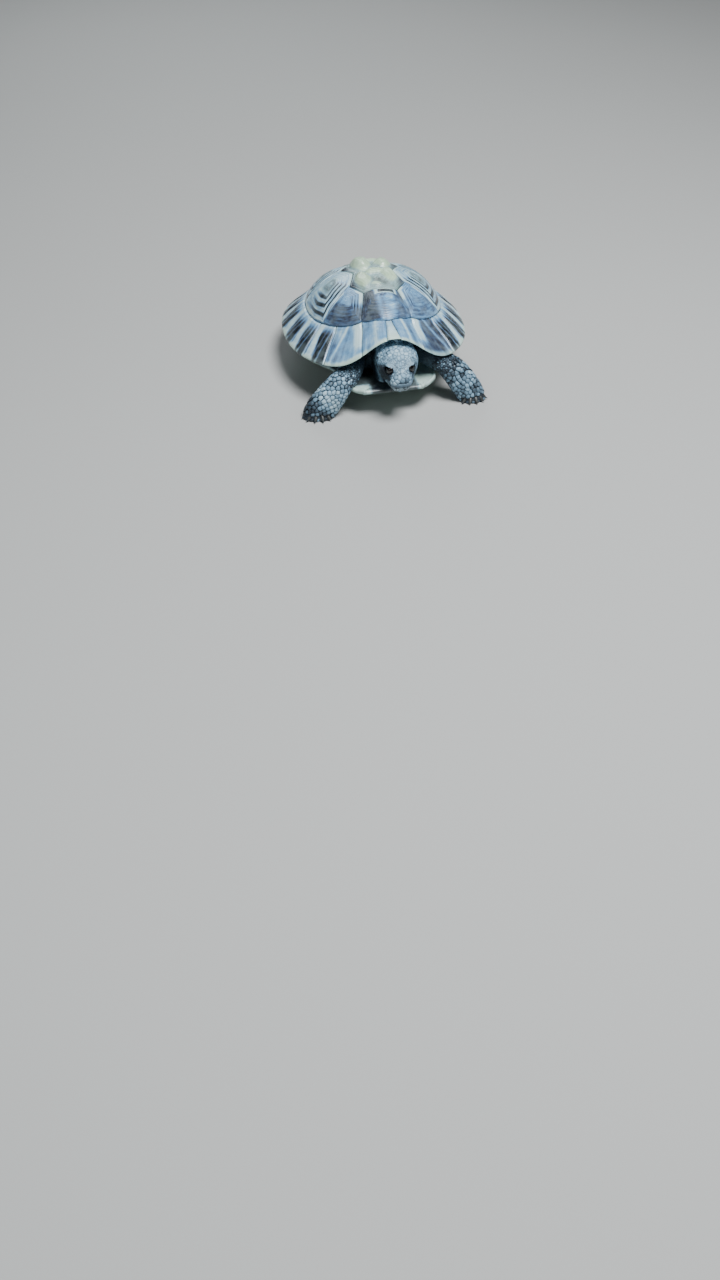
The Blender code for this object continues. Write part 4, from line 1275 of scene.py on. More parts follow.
@dataclass(frozen=True)
class HeadFrame:
    """The head's own axes: across to its left, forward along the snout, up through the crown."""

    origin: Triple = (0.0021, -0.0390, 0.0299)
    yaw: float = math.radians(0.5)
    pitch: float = math.radians(12.5)
    eye_radius: float = 0.0024
    eye_place: Triple = (0.0048, 0.0181, 0.0034)
    gaze: Triple = (0.84, 0.46, 0.28)
    mouth: Tuple[Tuple[float, float], ...] = ((0.0125, -0.0027), (0.0185, -0.0029), (0.0222, -0.0019),
                                              (0.0246, -0.0024), (0.0300, -0.0024))
    nostril: Triple = (0.00125, 0.0253, 0.0006)

    def matrix(self) -> Matrix:
        """Return the matrix from the head's axes (across, backward, up) to the row frame."""
        turn = Matrix.Rotation(-self.yaw, 4, "Z") @ Matrix.Rotation(self.pitch, 4, "X")
        return Matrix.Translation(Vector(self.origin) - MIDDLE) @ turn

    def place(self, across: float, forward: float, up: float) -> Vector:
        """Return the row-frame place of a point given along the head's axes."""
        return self.matrix() @ Vector((across, -forward, up))

    def local(self, points: Array) -> Array:
        """Return rows of (across, forward, up) for places in the row frame."""
        back = np.array(self.matrix().inverted())
        found = points @ back[:3, :3].T + back[:3, 3]
        return found * [1, -1, 1]

    def from_eyes(self, places: Array) -> Array:
        """Return how far each place lies from the nearer eye's centre."""
        centres = [np.array(self.eye(side)[0]) for _, side in SIDES]
        return np.min([np.linalg.norm(places - centre, axis=1) for centre in centres], axis=0)

    def from_nostril(self, places: Array, side: int) -> Array:
        """Return how far each place lies from one side's nostril."""
        across, forward, up = self.nostril
        return np.linalg.norm(places - np.array(self.place(across * side, forward, up)), axis=1)

    def eye(self, side: int) -> Tuple[Vector, Vector]:
        """Return an eye's place and gaze.

        Args:
            side: 1 for the left eye, -1 for the right.

        Returns:
            The eye's centre and the way it looks.
        """
        across, forward, up = self.eye_place
        look = self.matrix().to_3x3() @ Vector((self.gaze[0] * side, -self.gaze[1], self.gaze[2]))
        return self.place(across * side, forward, up), look.normalized()

    def mouth_height(self, forward: Array) -> Array:
        """Return how high the mouth line lies at distances along the snout."""
        return np.interp(forward, *zip(*self.mouth))


HEAD = HeadFrame()

FLESH = ("trunk", "neck", "head", "lower_jaw", "tail") + tuple(
    f"{end}_{side}_{part}" for end, parts in (("front", ("upper_arm", "forearm", "foot")),
                                              ("hind", ("thigh", "shank", "foot")))
    for side in ("left", "right") for part in parts)


class Region(IntEnum):
    """The parts of the body that the skin treats in different ways."""

    TRUNK = 0
    NECK = 1
    HEAD = 2
    TAIL = 3
    FRONT_UPPER = 4
    FRONT_LOWER = 5
    FRONT_FOOT = 6
    HIND_UPPER = 7
    HIND_LOWER = 8
    HIND_FOOT = 9

    @classmethod
    def of(cls, node: str) -> "Region":
        """Return the region that a CAD node belongs to.

        Args:
            node: The node's name.

        Returns:
            The region.
        """
        endings = {"upper_arm": cls.FRONT_UPPER, "forearm": cls.FRONT_LOWER, "thigh": cls.HIND_UPPER,
                   "shank": cls.HIND_LOWER, "head": cls.HEAD, "lower_jaw": cls.HEAD, "neck": cls.NECK,
                   "tail": cls.TAIL, "trunk": cls.TRUNK}
        for ending, region in endings.items():
            if node.endswith(ending):
                return region
        return cls.FRONT_FOOT if node.startswith("front") else cls.HIND_FOOT


CAD_MERGE = 0.000005
SKIN_TONE = 0.36
REGION_TONES = {Region.NECK: 0.52, Region.TRUNK: 0.40, Region.HEAD: 0.40, Region.FRONT_UPPER: 0.34,
                Region.FRONT_LOWER: 0.12, Region.FRONT_FOOT: 0.08, Region.HIND_LOWER: 0.24,
                Region.HIND_FOOT: 0.20}


def merged_copy(names: Sequence[str], grow: float) -> Shape:
    """Return copies of CAD nodes in one bmesh, with doubles merged and every face moved outward.

    Args:
        names: The nodes.
        grow: How far each moves outward.

    Returns:
        The bmesh.
    """
    bm = bmesh.new()
    for name in names:
        part = bmesh.new()
        part.from_mesh(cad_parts[name].data)
        face_out(part, CAD_MERGE)
        part.normal_update()
        for vertex in part.verts:
            vertex.co += vertex.normal * grow
        joined = bpy.data.meshes.new("joined")
        part.to_mesh(joined)
        part.free()
        bm.from_mesh(joined)
        bpy.data.meshes.remove(joined)
    return bm


def voxel_remesh(bm: Shape, size: float) -> Shape:
    """Return the outer skin of a bmesh as one even mesh.

    Args:
        bm: The shape; it is freed.
        size: The cell's size.

    Returns:
        The new bmesh.
    """
    mesh = bpy.data.meshes.new("remesh")
    bm.to_mesh(mesh)
    bm.free()
    holder = bpy.data.objects.new("remesh", mesh)
    bpy.context.scene.collection.objects.link(holder)
    remesh = holder.modifiers.new("remesh", "REMESH")
    remesh.mode = "VOXEL"
    remesh.voxel_size = size
    evaluated = holder.evaluated_get(bpy.context.evaluated_depsgraph_get())
    result = bmesh.new()
    result.from_mesh(evaluated.to_mesh())
    evaluated.to_mesh_clear()
    bpy.data.objects.remove(holder)
    bpy.data.meshes.remove(mesh)
    return result


def face_shadow(places: Array) -> Array:
    """Return how strongly the dark patch from the eye down to the beak shows on the head: a dark marking,
    made stronger on the animal's right by painted shade.

    Args:
        places: Places on the head.

    Returns:
        The patch's strength, from 0 to 1 on the animal's right, where it holds painted shade, and weaker on
        its left.
    """
    across, ahead, up = HEAD.local(places).T
    flank = ramp01(np.abs(across), 0.0040, 0.0060) * ramp01(ahead, 0.0128, 0.0170)
    flank = flank * (1 - ramp01(ahead, 0.0225, 0.0245))
    flank *= (1 - ramp01(up, 0.0030, 0.0048)) * (1 - ramp01(-up, 0.0030, 0.0048))
    # Full strength on the animal's right as painted shade, the weaker marking alone on its left.
    return flank * np.where(across < 0, 1.0, 0.35)


def upright_fold(places: Array) -> Array:
    """Return the upright folds of neck and throat: 1 on a ridge, -1 between two."""
    across = HEAD.local(places)[:, 0]
    return np.cos((across - 0.0006) / 0.0021 * math.pi + 1.2 * cloud(places, 150.0, 3.0))


@dataclass
class Hide:
    """The one skin over every node of flesh, with folds, lids, mouth and nostrils."""

    voxel: float = 0.00068
    grow: float = 0.00026
    coat: float = 0.00045
    head_fill: float = 0.00030
    smoothing: int = 4
    head_reach: float = 0.0195
    eye_reach: float = 0.0036
    lid_radius: float = 0.00295
    lid_across: float = 0.00185
    lid_up: float = 0.00076
    socket_depth: float = 0.0007
    mouth_depth: float = 0.00055
    nostril_depth: float = 0.00050
    neck_fold: float = 0.00042
    throat_fold: float = 0.00050
    cheek_fold: float = 0.00055
    wrinkle: float = 0.00022
    lumps: Tuple[Tuple[Triple, Triple], ...] = (((0.0053, 0.0160, 0.0058), (0.0027, 0.0042, 0.0011)),
                                                ((0.0072, 0.0110, -0.0012), (0.0034, 0.0050, 0.0044)),
                                                ((0.0030, 0.0226, 0.0010), (0.0026, 0.0026, 0.0018)))
    bm: Optional[Shape] = None

    def blobs(self, bm: Shape) -> None:
        """Add the lumps that the plain solids lack: brow ridges, cheeks and snout.

        Args:
            bm: The joined flesh.
        """
        turn = HEAD.matrix().to_3x3().to_4x4()
        for place, size in self.lumps:
            for _, side in SIDES:
                at = Matrix.Translation(HEAD.place(place[0] * side, place[1], place[2]))
                bmesh.ops.create_icosphere(bm, subdivisions=3, radius=1.0,
                                           matrix=at @ turn @ Matrix.Diagonal((*size, 1.0)))

    def gather(self) -> None:
        """Join the flesh into one even mesh and draw it in by the coat's depth."""
        bm = merged_copy(FLESH, self.grow)
        self.blobs(bm)
        bm = voxel_remesh(bm, self.voxel)
        for _ in range(self.smoothing):
            smooth(bm, bm.verts)
        bm.normal_update()
        bm.verts.ensure_lookup_table()
        places = vertex_places(bm)
        head = ramp01(HEAD.local(places)[:, 1], 0.004, 0.014)
        draw = self.grow + self.coat - self.head_fill * head
        for vertex, amount in zip(bm.verts, draw):
            vertex.co -= vertex.normal * float(amount)
        self.bm = bm

    def over_head(self, places: Array) -> Array:
        """Return whether each place lies on the head."""
        local = HEAD.local(places)
        return (local[:, 1] > 0.0035) & (np.linalg.norm(local - [0, 0.013, 0], axis=1) < self.head_reach)

    def by_openings(self, places: Array) -> Array:
        """Return whether each place lies by an eye, by the mouth line or on the tip of the snout.

        Args:
            places: Places in the row frame.

        Returns:
            True or False for each.
        """
        _, ahead, up = HEAD.local(places).T
        mouth = (np.abs(up - HEAD.mouth_height(ahead)) < 0.0008) & (ahead > 0.0115)
        return (HEAD.from_eyes(places) < self.eye_reach) | mouth | ((ahead > 0.0236) & (up > -0.002))

    def refine(self) -> None:
        """Make the mesh finer over the head, and finer again round the eyes and the mouth."""
        for rule in (self.over_head, self.by_openings):
            chosen = rule(face_places(self.bm))
            faces = [f for f, c in zip(self.bm.faces, chosen) if c]
            edges = list(dict.fromkeys(e for f in faces for e in f.edges))
            bmesh.ops.subdivide_edges(self.bm, edges=edges, cuts=1, use_grid_fill=True, smooth=0.0)
            bmesh.ops.triangulate(self.bm, faces=[f for f in self.bm.faces if len(f.verts) > 4])
            smooth(self.bm, list(dict.fromkeys(v for f in faces if f.is_valid for v in f.verts)))

    def regions(self, places: Array) -> Array:
        """Return the number of the region that each place belongs to.

        Args:
            places: The skin's vertices.

        Returns:
            A Region for each.
        """
        best = np.full(len(places), np.inf)
        found = np.zeros(len(places), int)
        for name in FLESH:
            mesh, (low, high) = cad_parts[name].data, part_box(name)
            tree = BVHTree.FromPolygons([v.co for v in mesh.vertices], [p.vertices for p in mesh.polygons])
            near = np.all((places > np.array(low) - 0.003) & (places < np.array(high) + 0.003), axis=1)
            for index in np.nonzero(near)[0]:
                distance = tree.find_nearest(Vector(places[index]))[3]
                if distance is not None and distance < best[index]:
                    best[index], found[index] = distance, Region.of(name)
        return found

    def open_eyes(self, places: Array) -> Array:
        """Shape the skin round each eye into two lids and a slit that shows the eyeball.

        Args:
            places: The skin's vertices.

        Returns:
            Their new places.
        """
        moved = places.copy()
        up = np.array(HEAD.matrix().to_3x3() @ Vector((0.0, 0.0, 1.0)))
        for _, side in SIDES:
            centre, look = (np.array(v) for v in HEAD.eye(side))
            along = np.cross(up, look)
            along /= np.linalg.norm(along)
            over = np.cross(look, along)
            offset = moved - centre
            reach = np.linalg.norm(offset, axis=1)
            facing = offset @ look
            a, b = offset @ along, offset @ over
            oval = np.sqrt((a / self.lid_across) ** 2 + (b / self.lid_up) ** 2)
            near = (reach < 0.0062) & (facing > -0.0006)
            direction = offset / np.maximum(reach, 1e-6)[:, None]
            lid = self.lid_radius + 0.00022 * bump01(oval, 1.35, 0.30) - 0.00016 * bump01(oval, 1.95, 0.25)
            edge = ramp01(oval, 0.90, 1.14)
            radius = (HEAD.eye_radius - self.socket_depth) * (1 - edge) + lid * edge
            share = (1 - ramp01(oval, 1.7, 2.7)) * near
            target = centre + direction * radius[:, None]
            moved += (target - moved) * share[:, None]
        return moved

    def relief(self, places: Array, outward: Array, region: Array) -> Array:
        """Return the skin's places with folds, mouth line, nostrils and fine wrinkles.

        Args:
            places: The skin's vertices.
            outward: Their normals.
            region: Their regions.

        Returns:
            Their new places.
        """
        across, ahead, up = HEAD.local(places).T
        height = np.zeros(len(places))
        on_head = ramp01(ahead, 0.004, 0.009)
        mouth = up - HEAD.mouth_height(ahead)
        height -= self.mouth_depth * bump01(mouth, 0.0, 0.00030) * ramp01(ahead, 0.0118, 0.0150)
        for _, side in SIDES:
            pit = HEAD.from_nostril(places, side)
            height -= self.nostril_depth * bump01(pit, 0.0, 0.00036)
            height += 0.00012 * bump01(pit, 0.00080, 0.00030)
        is_neck = (region == Region.NECK) | ((region == Region.HEAD) & (ahead < 0.006))
        around = np.arctan2(up, across)
        fold = np.cos(ahead / 0.0019 * math.pi + 1.1 * cloud(places, 170.0, 1.0) + 1.4 * np.cos(around * 2))
        low = 1 - ramp01(up, 0.0, 0.004)
        upright = upright_fold(places)
        folds = (self.neck_fold * fold * (1 - low) + self.throat_fold * upright * low) * (1 - on_head)
        height += np.where(is_neck, folds, 0.0)
        cheek = (region == Region.HEAD) * self.behind_cheek(ahead, up)
        height += self.cheek_fold * upright * cheek
        soft = np.isin(region, [Region.FRONT_UPPER, Region.HIND_UPPER, Region.TRUNK])
        crumple = cloud(places, 240.0, 4.0) + 0.5 * cloud(places, 520.0, 8.0)
        height += np.where(soft, self.wrinkle * crumple, 0.00005 * crumple)
        return places + outward * height[:, None]

    @staticmethod
    def behind_cheek(ahead: Array, up: Array) -> Array:
        """Return how much each place of the head's frame lies on the folded skin behind the cheek."""
        return (1 - ramp01(ahead, 0.0118, 0.0142)) * (1 - ramp01(up, 0.0006, 0.0028))

    def tones(self, places: Array, region: Array) -> Array:
        """Return how pale the skin is.

        Args:
            places: The skin's vertices.
            region: Their regions.

        Returns:
            The tone of each, from 0 to 1.
        """
        _, ahead, up = HEAD.local(places).T
        tone = np.full(len(places), SKIN_TONE)
        for part, value in REGION_TONES.items():
            tone[region == part] = value
        head = region == Region.HEAD
        tone[head] += (0.18 * ramp01(up, 0.002, 0.006))[head]
        # The folds behind the cheek and under the neck: painted light on their ridges, painted shade in the
        # creases between them.
        ridge = 0.5 + 0.5 * upright_fold(places)
        folded = np.where(head, self.behind_cheek(ahead, up), (region == Region.NECK) & (up < 0.003))
        tone = tone * (1 - folded) + folded * (0.10 + 0.90 * ridge**1.5)
        eye = HEAD.from_eyes(places)
        lid = (1 - ramp01(eye, 0.0030, 0.0040)) * (1 - ramp01(up, 0.0036, 0.0050))
        tone -= (0.50 * face_shadow(places) + 0.30 * lid - 0.20 * (eye < 0.0040) * (1 - lid)) * head
        return np.clip(tone + 0.10 * cloud(places, 130.0, 6.0), 0, 1)

    def build(self, finish: Material) -> Piece:
        """Build the skin, which stands for every node of flesh.

        Args:
            finish: The skin's material.

        Returns:
            The piece.
        """
        self.gather()
        self.refine()
        self.bm.normal_update()
        places = vertex_places(self.bm)
        outward = np.array([tuple(v.normal) for v in self.bm.verts])
        region = self.regions(places)
        places = self.relief(places, outward, region)
        places = self.open_eyes(places)
        mark(self.bm, "tone", self.tones(places, region))
        places[:, 2] = np.maximum(places[:, 2], LIFT_OFF_GROUND / 2)
        kind = self.bm.verts.layers.int.new("region")
        for vertex, place, value in zip(self.bm.verts, places, region):
            vertex.co = place
            vertex[kind] = int(value)
        self.bm.normal_update()
        bmesh.ops.triangulate(self.bm, faces=self.bm.faces)
        keep = self.bm.copy()
        piece = settle("skin", self.bm, finish, FLESH)
        self.bm = keep
        return piece


@dataclass(frozen=True)
class Eyes:
    """The two eyeballs, dark and wet."""

    segments: int = 48
    rings: int = 32

    def build(self, finish: Material) -> List[Piece]:
        """Build both eyes over their CAD nodes.

        Args:
            finish: The eye's material.

        Returns:
            The two pieces.
        """
        made = []
        for name, side in SIDES:
            centre, look = HEAD.eye(side)
            bm = bmesh.new()
            turn = look.to_track_quat("Z", "Y").to_matrix().to_4x4()
            bmesh.ops.create_uvsphere(bm, u_segments=self.segments, v_segments=self.rings,
                                      radius=HEAD.eye_radius, matrix=Matrix.Translation(centre) @ turn)
            layer = bm.verts.layers.float.new("off_axis")
            for vertex in bm.verts:
                out = vertex.co - centre
                ahead = out.dot(look)
                vertex[layer] = (out - look * ahead).length / HEAD.eye_radius if ahead > 0 else 1.0
            made.append(settle(f"eyeball_{name}", bm, finish, [f"eye_{name}"]))
        return made


@dataclass(frozen=True)
class FootPlan:
    """Where one foot's claws spring from."""

    name: str
    centre: Triple
    half: Tuple[float, float]
    fan: Tuple[float, ...]
    heading: float


@dataclass(frozen=True)
class Claws:
    """Curved claws: a tapered horn tube bent down to its point, one joined piece for each foot."""

    radius: float = 0.00175
    length: float = 0.0043
    root_share: float = 0.60
    root_height: float = 0.0026
    droop: float = 0.0016
    taper: float = 0.82
    point: float = 0.07
    flattening: Tuple[float, float] = (0.86, 0.82)
    sides: int = 14
    steps: int = 10
    feet: Tuple[FootPlan, ...] = (
        FootPlan("front_left", (0.0434, -0.0455, 0.0018), (0.0072, 0.0054), (-54, -27, 0, 27, 52), 12.0),
        FootPlan("front_right", (-0.0374, -0.0470, 0.0016), (0.0086, 0.0056), (-54, -27, 0, 27, 52), -22.0),
        FootPlan("hind_left", (0.0362, 0.0425, 0.0016), (0.0074, 0.0074), (-42, -14, 14, 42), 40.0),
        FootPlan("hind_right", (-0.0350, 0.0460, 0.0016), (0.0074, 0.0074), (-42, -14, 14, 42), -40.0))

    def roots(self, foot: FootPlan) -> List[Tuple[Vector, Vector]]:
        """Return where a foot's claws stand.

        Args:
            foot: The foot.

        Returns:
            The root and the direction of each claw.
        """
        found = []
        for angle in foot.fan:
            turn = math.radians(angle + foot.heading)
            way = Vector((math.sin(turn), -math.cos(turn), 0.0))
            edge = Vector((way.x * foot.half[0], way.y * foot.half[1], 0.0))
            middle = Vector((foot.centre[0], foot.centre[1], self.root_height))
            found.append((middle + edge * self.root_share - MIDDLE, way))
        return found

    @classmethod
    def covers(cls, places: Array) -> Array:
        """Return whether each place lies on or beside a claw.

        Args:
            places: Places in the row frame.

        Returns:
            True or False for each.
        """
        plan = cls()
        near = np.zeros(len(places), bool)
        for foot in plan.feet:
            for root, way in plan.roots(foot):
                offset = places - np.array(root)
                ahead = offset @ np.array(way)
                off_line = np.linalg.norm(offset - ahead[:, None] * np.array(way), axis=1)
                near |= (ahead > 0.0004) & (ahead < 0.008) & (off_line < 0.0019)
        return near

    def claw(self, bm: Shape, root: Vector, way: Vector, layer: object) -> None:
        """Add one claw.

        Args:
            bm: The bmesh that it joins.
            root: The middle of its root.
            way: The level direction that it points in.
            layer: The layer that keeps how far each vertex lies from the root.
        """
        place = Matrix.Translation(root) @ way.to_track_quat("Z", "Y").to_matrix().to_4x4()
        ring = bmesh.ops.create_circle(bm, cap_ends=True, segments=self.sides, radius=self.radius,
                                       matrix=place)["verts"]
        for vertex in ring:
            vertex[layer] = 0.0
        face = next(f for f in ring[0].link_faces if set(f.verts) == set(ring))
        up = Vector((0.0, 0.0, 1.0))
        across = up.cross(way)
        for step in range(1, self.steps + 1):
            t = step / self.steps
            grown = bmesh.ops.extrude_face_region(bm, geom=[face])["geom"]
            bmesh.ops.delete(bm, geom=[face], context="FACES_ONLY")
            face = next(g for g in grown if isinstance(g, bmesh.types.BMFace))
            middle = root + way * self.length * t - up * (self.droop * t * t)
            size = self.radius * (1 - self.taper * t**1.8 if step < self.steps else self.point)
            for index, vertex in enumerate(face.verts):
                turn = 2 * math.pi * index / self.sides
                wide, under = self.flattening
                flat = under if math.sin(turn) < 0 else 1.0
                vertex.co = middle + (across * math.cos(turn) * wide + up * math.sin(turn) * flat) * size
                vertex[layer] = t

    def build(self, finish: Material) -> List[Piece]:
        """Build each foot's claws.

        Args:
            finish: The claw's material.

        Returns:
            The pieces.
        """
        made = []
        for foot in self.feet:
            bm = bmesh.new()
            layer = bm.verts.layers.float.new("along")
            for root, way in self.roots(foot):
                self.claw(bm, root, way, layer)
            for vertex in bm.verts:
                vertex.co.z = max(vertex.co.z, LIFT_OFF_GROUND)
            face_out(bm)
            made.append(settle(f"claws_{foot.name}", bm, finish))
        return made


# --------------------------------------------------------------------------- scales


def dots(a: Array, b: Array) -> Array:
    """Return the dot product of each row of one array with the same row of another."""
    return np.einsum("ij,ij->i", a, b)


def tree_of(places: Sequence[Array]) -> kdtree.KDTree:
    """Return a search tree over places.

    Args:
        places: The places, which keep their order.

    Returns:
        The balanced tree.
    """
    tree = kdtree.KDTree(len(places))
    for index, place in enumerate(places):
        tree.insert(place, index)
    tree.balance()
    return tree


@dataclass(frozen=True)
class LimbPath:
    """The middle line of a limb or tail, from its root to its tip."""

    name: str
    points: Tuple[Triple, ...]
    cell: Tuple[float, float]

    def nearest(self, places: Array) -> Tuple[Array, Array, Array]:
        """Return how far along the line each place lies, the line's direction there and its nearest point.

        Args:
            places: Places in the row frame.

        Returns:
            Shares of the line's length from 0 to 1, unit directions, and the nearest points of the line.
        """
        knots = np.array(self.points) - np.array(MIDDLE)
        starts, steps = knots[:-1], np.diff(knots, axis=0)
        lengths = np.linalg.norm(steps, axis=1)
        before = np.concatenate([[0.0], np.cumsum(lengths)[:-1]])
        offset = places[:, None, :] - starts[None, :, :]
        share = np.clip(np.einsum("ijk,jk->ij", offset, steps) / lengths**2, 0, 1)
        feet = starts[None] + steps[None] * share[..., None]
        best = np.argmin(np.linalg.norm(places[:, None, :] - feet, axis=2), axis=1)
        row = np.arange(len(places))
        along = (before[best] + share[row, best] * lengths[best]) / lengths.sum()
        return along, steps[best] / lengths[best][:, None], feet[row, best]

    def unwrap(self, places: Array) -> Array:
        """Return places on the unrolled limb.

        Args:
            places: Places in the row frame.

        Returns:
            Map coordinates of each, inside this limb's own cell of the map.
        """
        along, way, feet = self.nearest(places)
        out = places - feet
        across = np.cross(way, [0.0, 0.0, 1.0])
        turn = np.arctan2(dots(out, np.cross(way, across)), dots(out, across))
        return np.column_stack([self.cell[0] + 0.01 + 0.23 * (turn / (2 * math.pi) + 0.5),
                                self.cell[1] + 0.01 + 0.47 * along])


FRONT_LEFT = LimbPath("front_left", ((0.0180, -0.0315, 0.0238), (0.0264, -0.0402, 0.0218),
                                     (0.0302, -0.0424, 0.0198), (0.0344, -0.0440, 0.0156),
                                     (0.0382, -0.0450, 0.0104), (0.0414, -0.0454, 0.0056),
                                     (0.0434, -0.0455, 0.0018)), (0.25, 0.0))
FRONT_RIGHT = LimbPath("front_right", ((-0.0156, -0.0315, 0.0236), (-0.0220, -0.0436, 0.0199),
                                       (-0.0260, -0.0466, 0.0176), (-0.0300, -0.0475, 0.0130),
                                       (-0.0334, -0.0475, 0.0084), (-0.0361, -0.0472, 0.0046),
                                       (-0.0374, -0.0470, 0.0016)), (0.5, 0.0))
HIND_LEFT = LimbPath("hind_left", ((0.0245, 0.0330, 0.0170), (0.0290, 0.0372, 0.0144),
                                   (0.0332, 0.0404, 0.0104), (0.0356, 0.0420, 0.0060),
                                   (0.0362, 0.0425, 0.0016)), (0.75, 0.0))
HIND_RIGHT = LimbPath("hind_right", ((-0.0245, 0.0330, 0.0170), (-0.0286, 0.0382, 0.0142),
                                     (-0.0322, 0.0426, 0.0102), (-0.0344, 0.0452, 0.0060),
                                     (-0.0350, 0.0460, 0.0016)), (0.0, 0.5))
TAIL = LimbPath("tail", ((0.0, 0.0330, 0.0158), (-0.0005, 0.0410, 0.0142), (-0.0016, 0.0475, 0.0114),
                         (-0.0028, 0.0530, 0.0078), (-0.0038, 0.0570, 0.0054)), (0.25, 0.5))
NECK = LimbPath("neck", ((0.0016, -0.0310, 0.0272), (0.0021, -0.0390, 0.0299),
                         (0.0021, -0.0640, 0.0245)), (0.0, 0.0))


@dataclass(frozen=True)
class ScaleStyle:
    """How the scales of one zone are cut and raised."""

    gap: float = 0.00014
    height: float = 0.00022
    dome: float = 0.00010
    lean: float = 0.0
    overlap: float = 0.0
    bevel: float = 0.00014
    corners: int = 10
    rim_shade: float = 0.20
    relax: int = 2
    root_depth: float = 0.00022


TINY = 1e-12


class SkinSurface:
    """The skin ready to be covered: places where scales can root, and the surface under each of them."""

    TRIES = 22
    CLOSEST = 0.86

    def __init__(self, bm: Shape) -> None:
        """Keep the skin's triangles as arrays.

        Args:
            bm: The finished skin, with its regions in a layer.
        """
        bm.verts.ensure_lookup_table()
        bm.verts.index_update()
        self.tree = BVHTree.FromBMesh(bm)
        self.places = vertex_places(bm)
        kind = bm.verts.layers.int["region"]
        self.kind = np.array([v[kind] for v in bm.verts])
        self.faces = np.array([[v.index for v in f.verts] for f in bm.faces])
        corner = self.places[self.faces]
        cross = np.cross(corner[:, 1] - corner[:, 0], corner[:, 2] - corner[:, 0])
        size = np.linalg.norm(cross, axis=1)
        self.area = size / 2
        self.normal = cross / np.maximum(size, TINY)[:, None]
        self.centre = corner.mean(axis=1)
        self.region = self.kind[self.faces[:, 0]]

    def scatter(self, spacing: Array, relax: int, seed: int) -> Tuple[Array, Array, Array]:
        """Return even, uneven-sized roots over the faces.

        Args:
            spacing: The distance between roots wanted at each face, 0 for none.
            relax: How many times each root moves to the middle of its own ground.
            seed: The seed of the scatter.

        Returns:
            The roots' places, normals and spacings.
        """
        rng = np.random.default_rng(seed)
        wanted = np.where(spacing > 0, self.area / np.maximum(spacing, 1e-5) ** 2, 0.0)
        count = int(wanted.sum() * self.TRIES)
        face = np.sort(rng.choice(len(wanted), size=count, p=wanted / wanted.sum()))
        a, b = np.sqrt(rng.random(count)), rng.random(count)
        weights = np.column_stack([1 - a, a * (1 - b), a * b])
        spots = np.einsum("ij,ijk->ik", weights, self.places[self.faces[face]])
        tree = tree_of(spots)
        free = np.ones(count, bool)
        roots = []
        for index in rng.permutation(count):
            if free[index]:
                roots.append(index)
                for _, other, _ in tree.find_range(spots[index], float(spacing[face[index]]) * self.CLOSEST):
                    free[other] = False
        chosen = spots[roots]
        for _ in range(relax):
            near = tree_of(chosen)
            owner = np.array([near.find(spot)[1] for spot in spots])
            sums = np.column_stack([np.bincount(owner, spots[:, k], len(chosen)) for k in range(3)])
            chosen = sums / np.maximum(np.bincount(owner, minlength=len(chosen)), 1)[:, None]
            chosen = np.array([tuple(self.tree.find_nearest(Vector(spot))[0]) for spot in chosen])
        out = np.zeros_like(chosen)
        sizes = np.zeros(len(chosen))
        for index, spot in enumerate(chosen):
            _, normal, face_index, _ = self.tree.find_nearest(Vector(spot))
            out[index], sizes[index] = normal, spacing[face_index]
        keep = sizes > 0
        return chosen[keep], out[keep], sizes[keep]


SpacingRule = Callable[[SkinSurface], Array]
ToneRule = Callable[[Array, Array], Array]


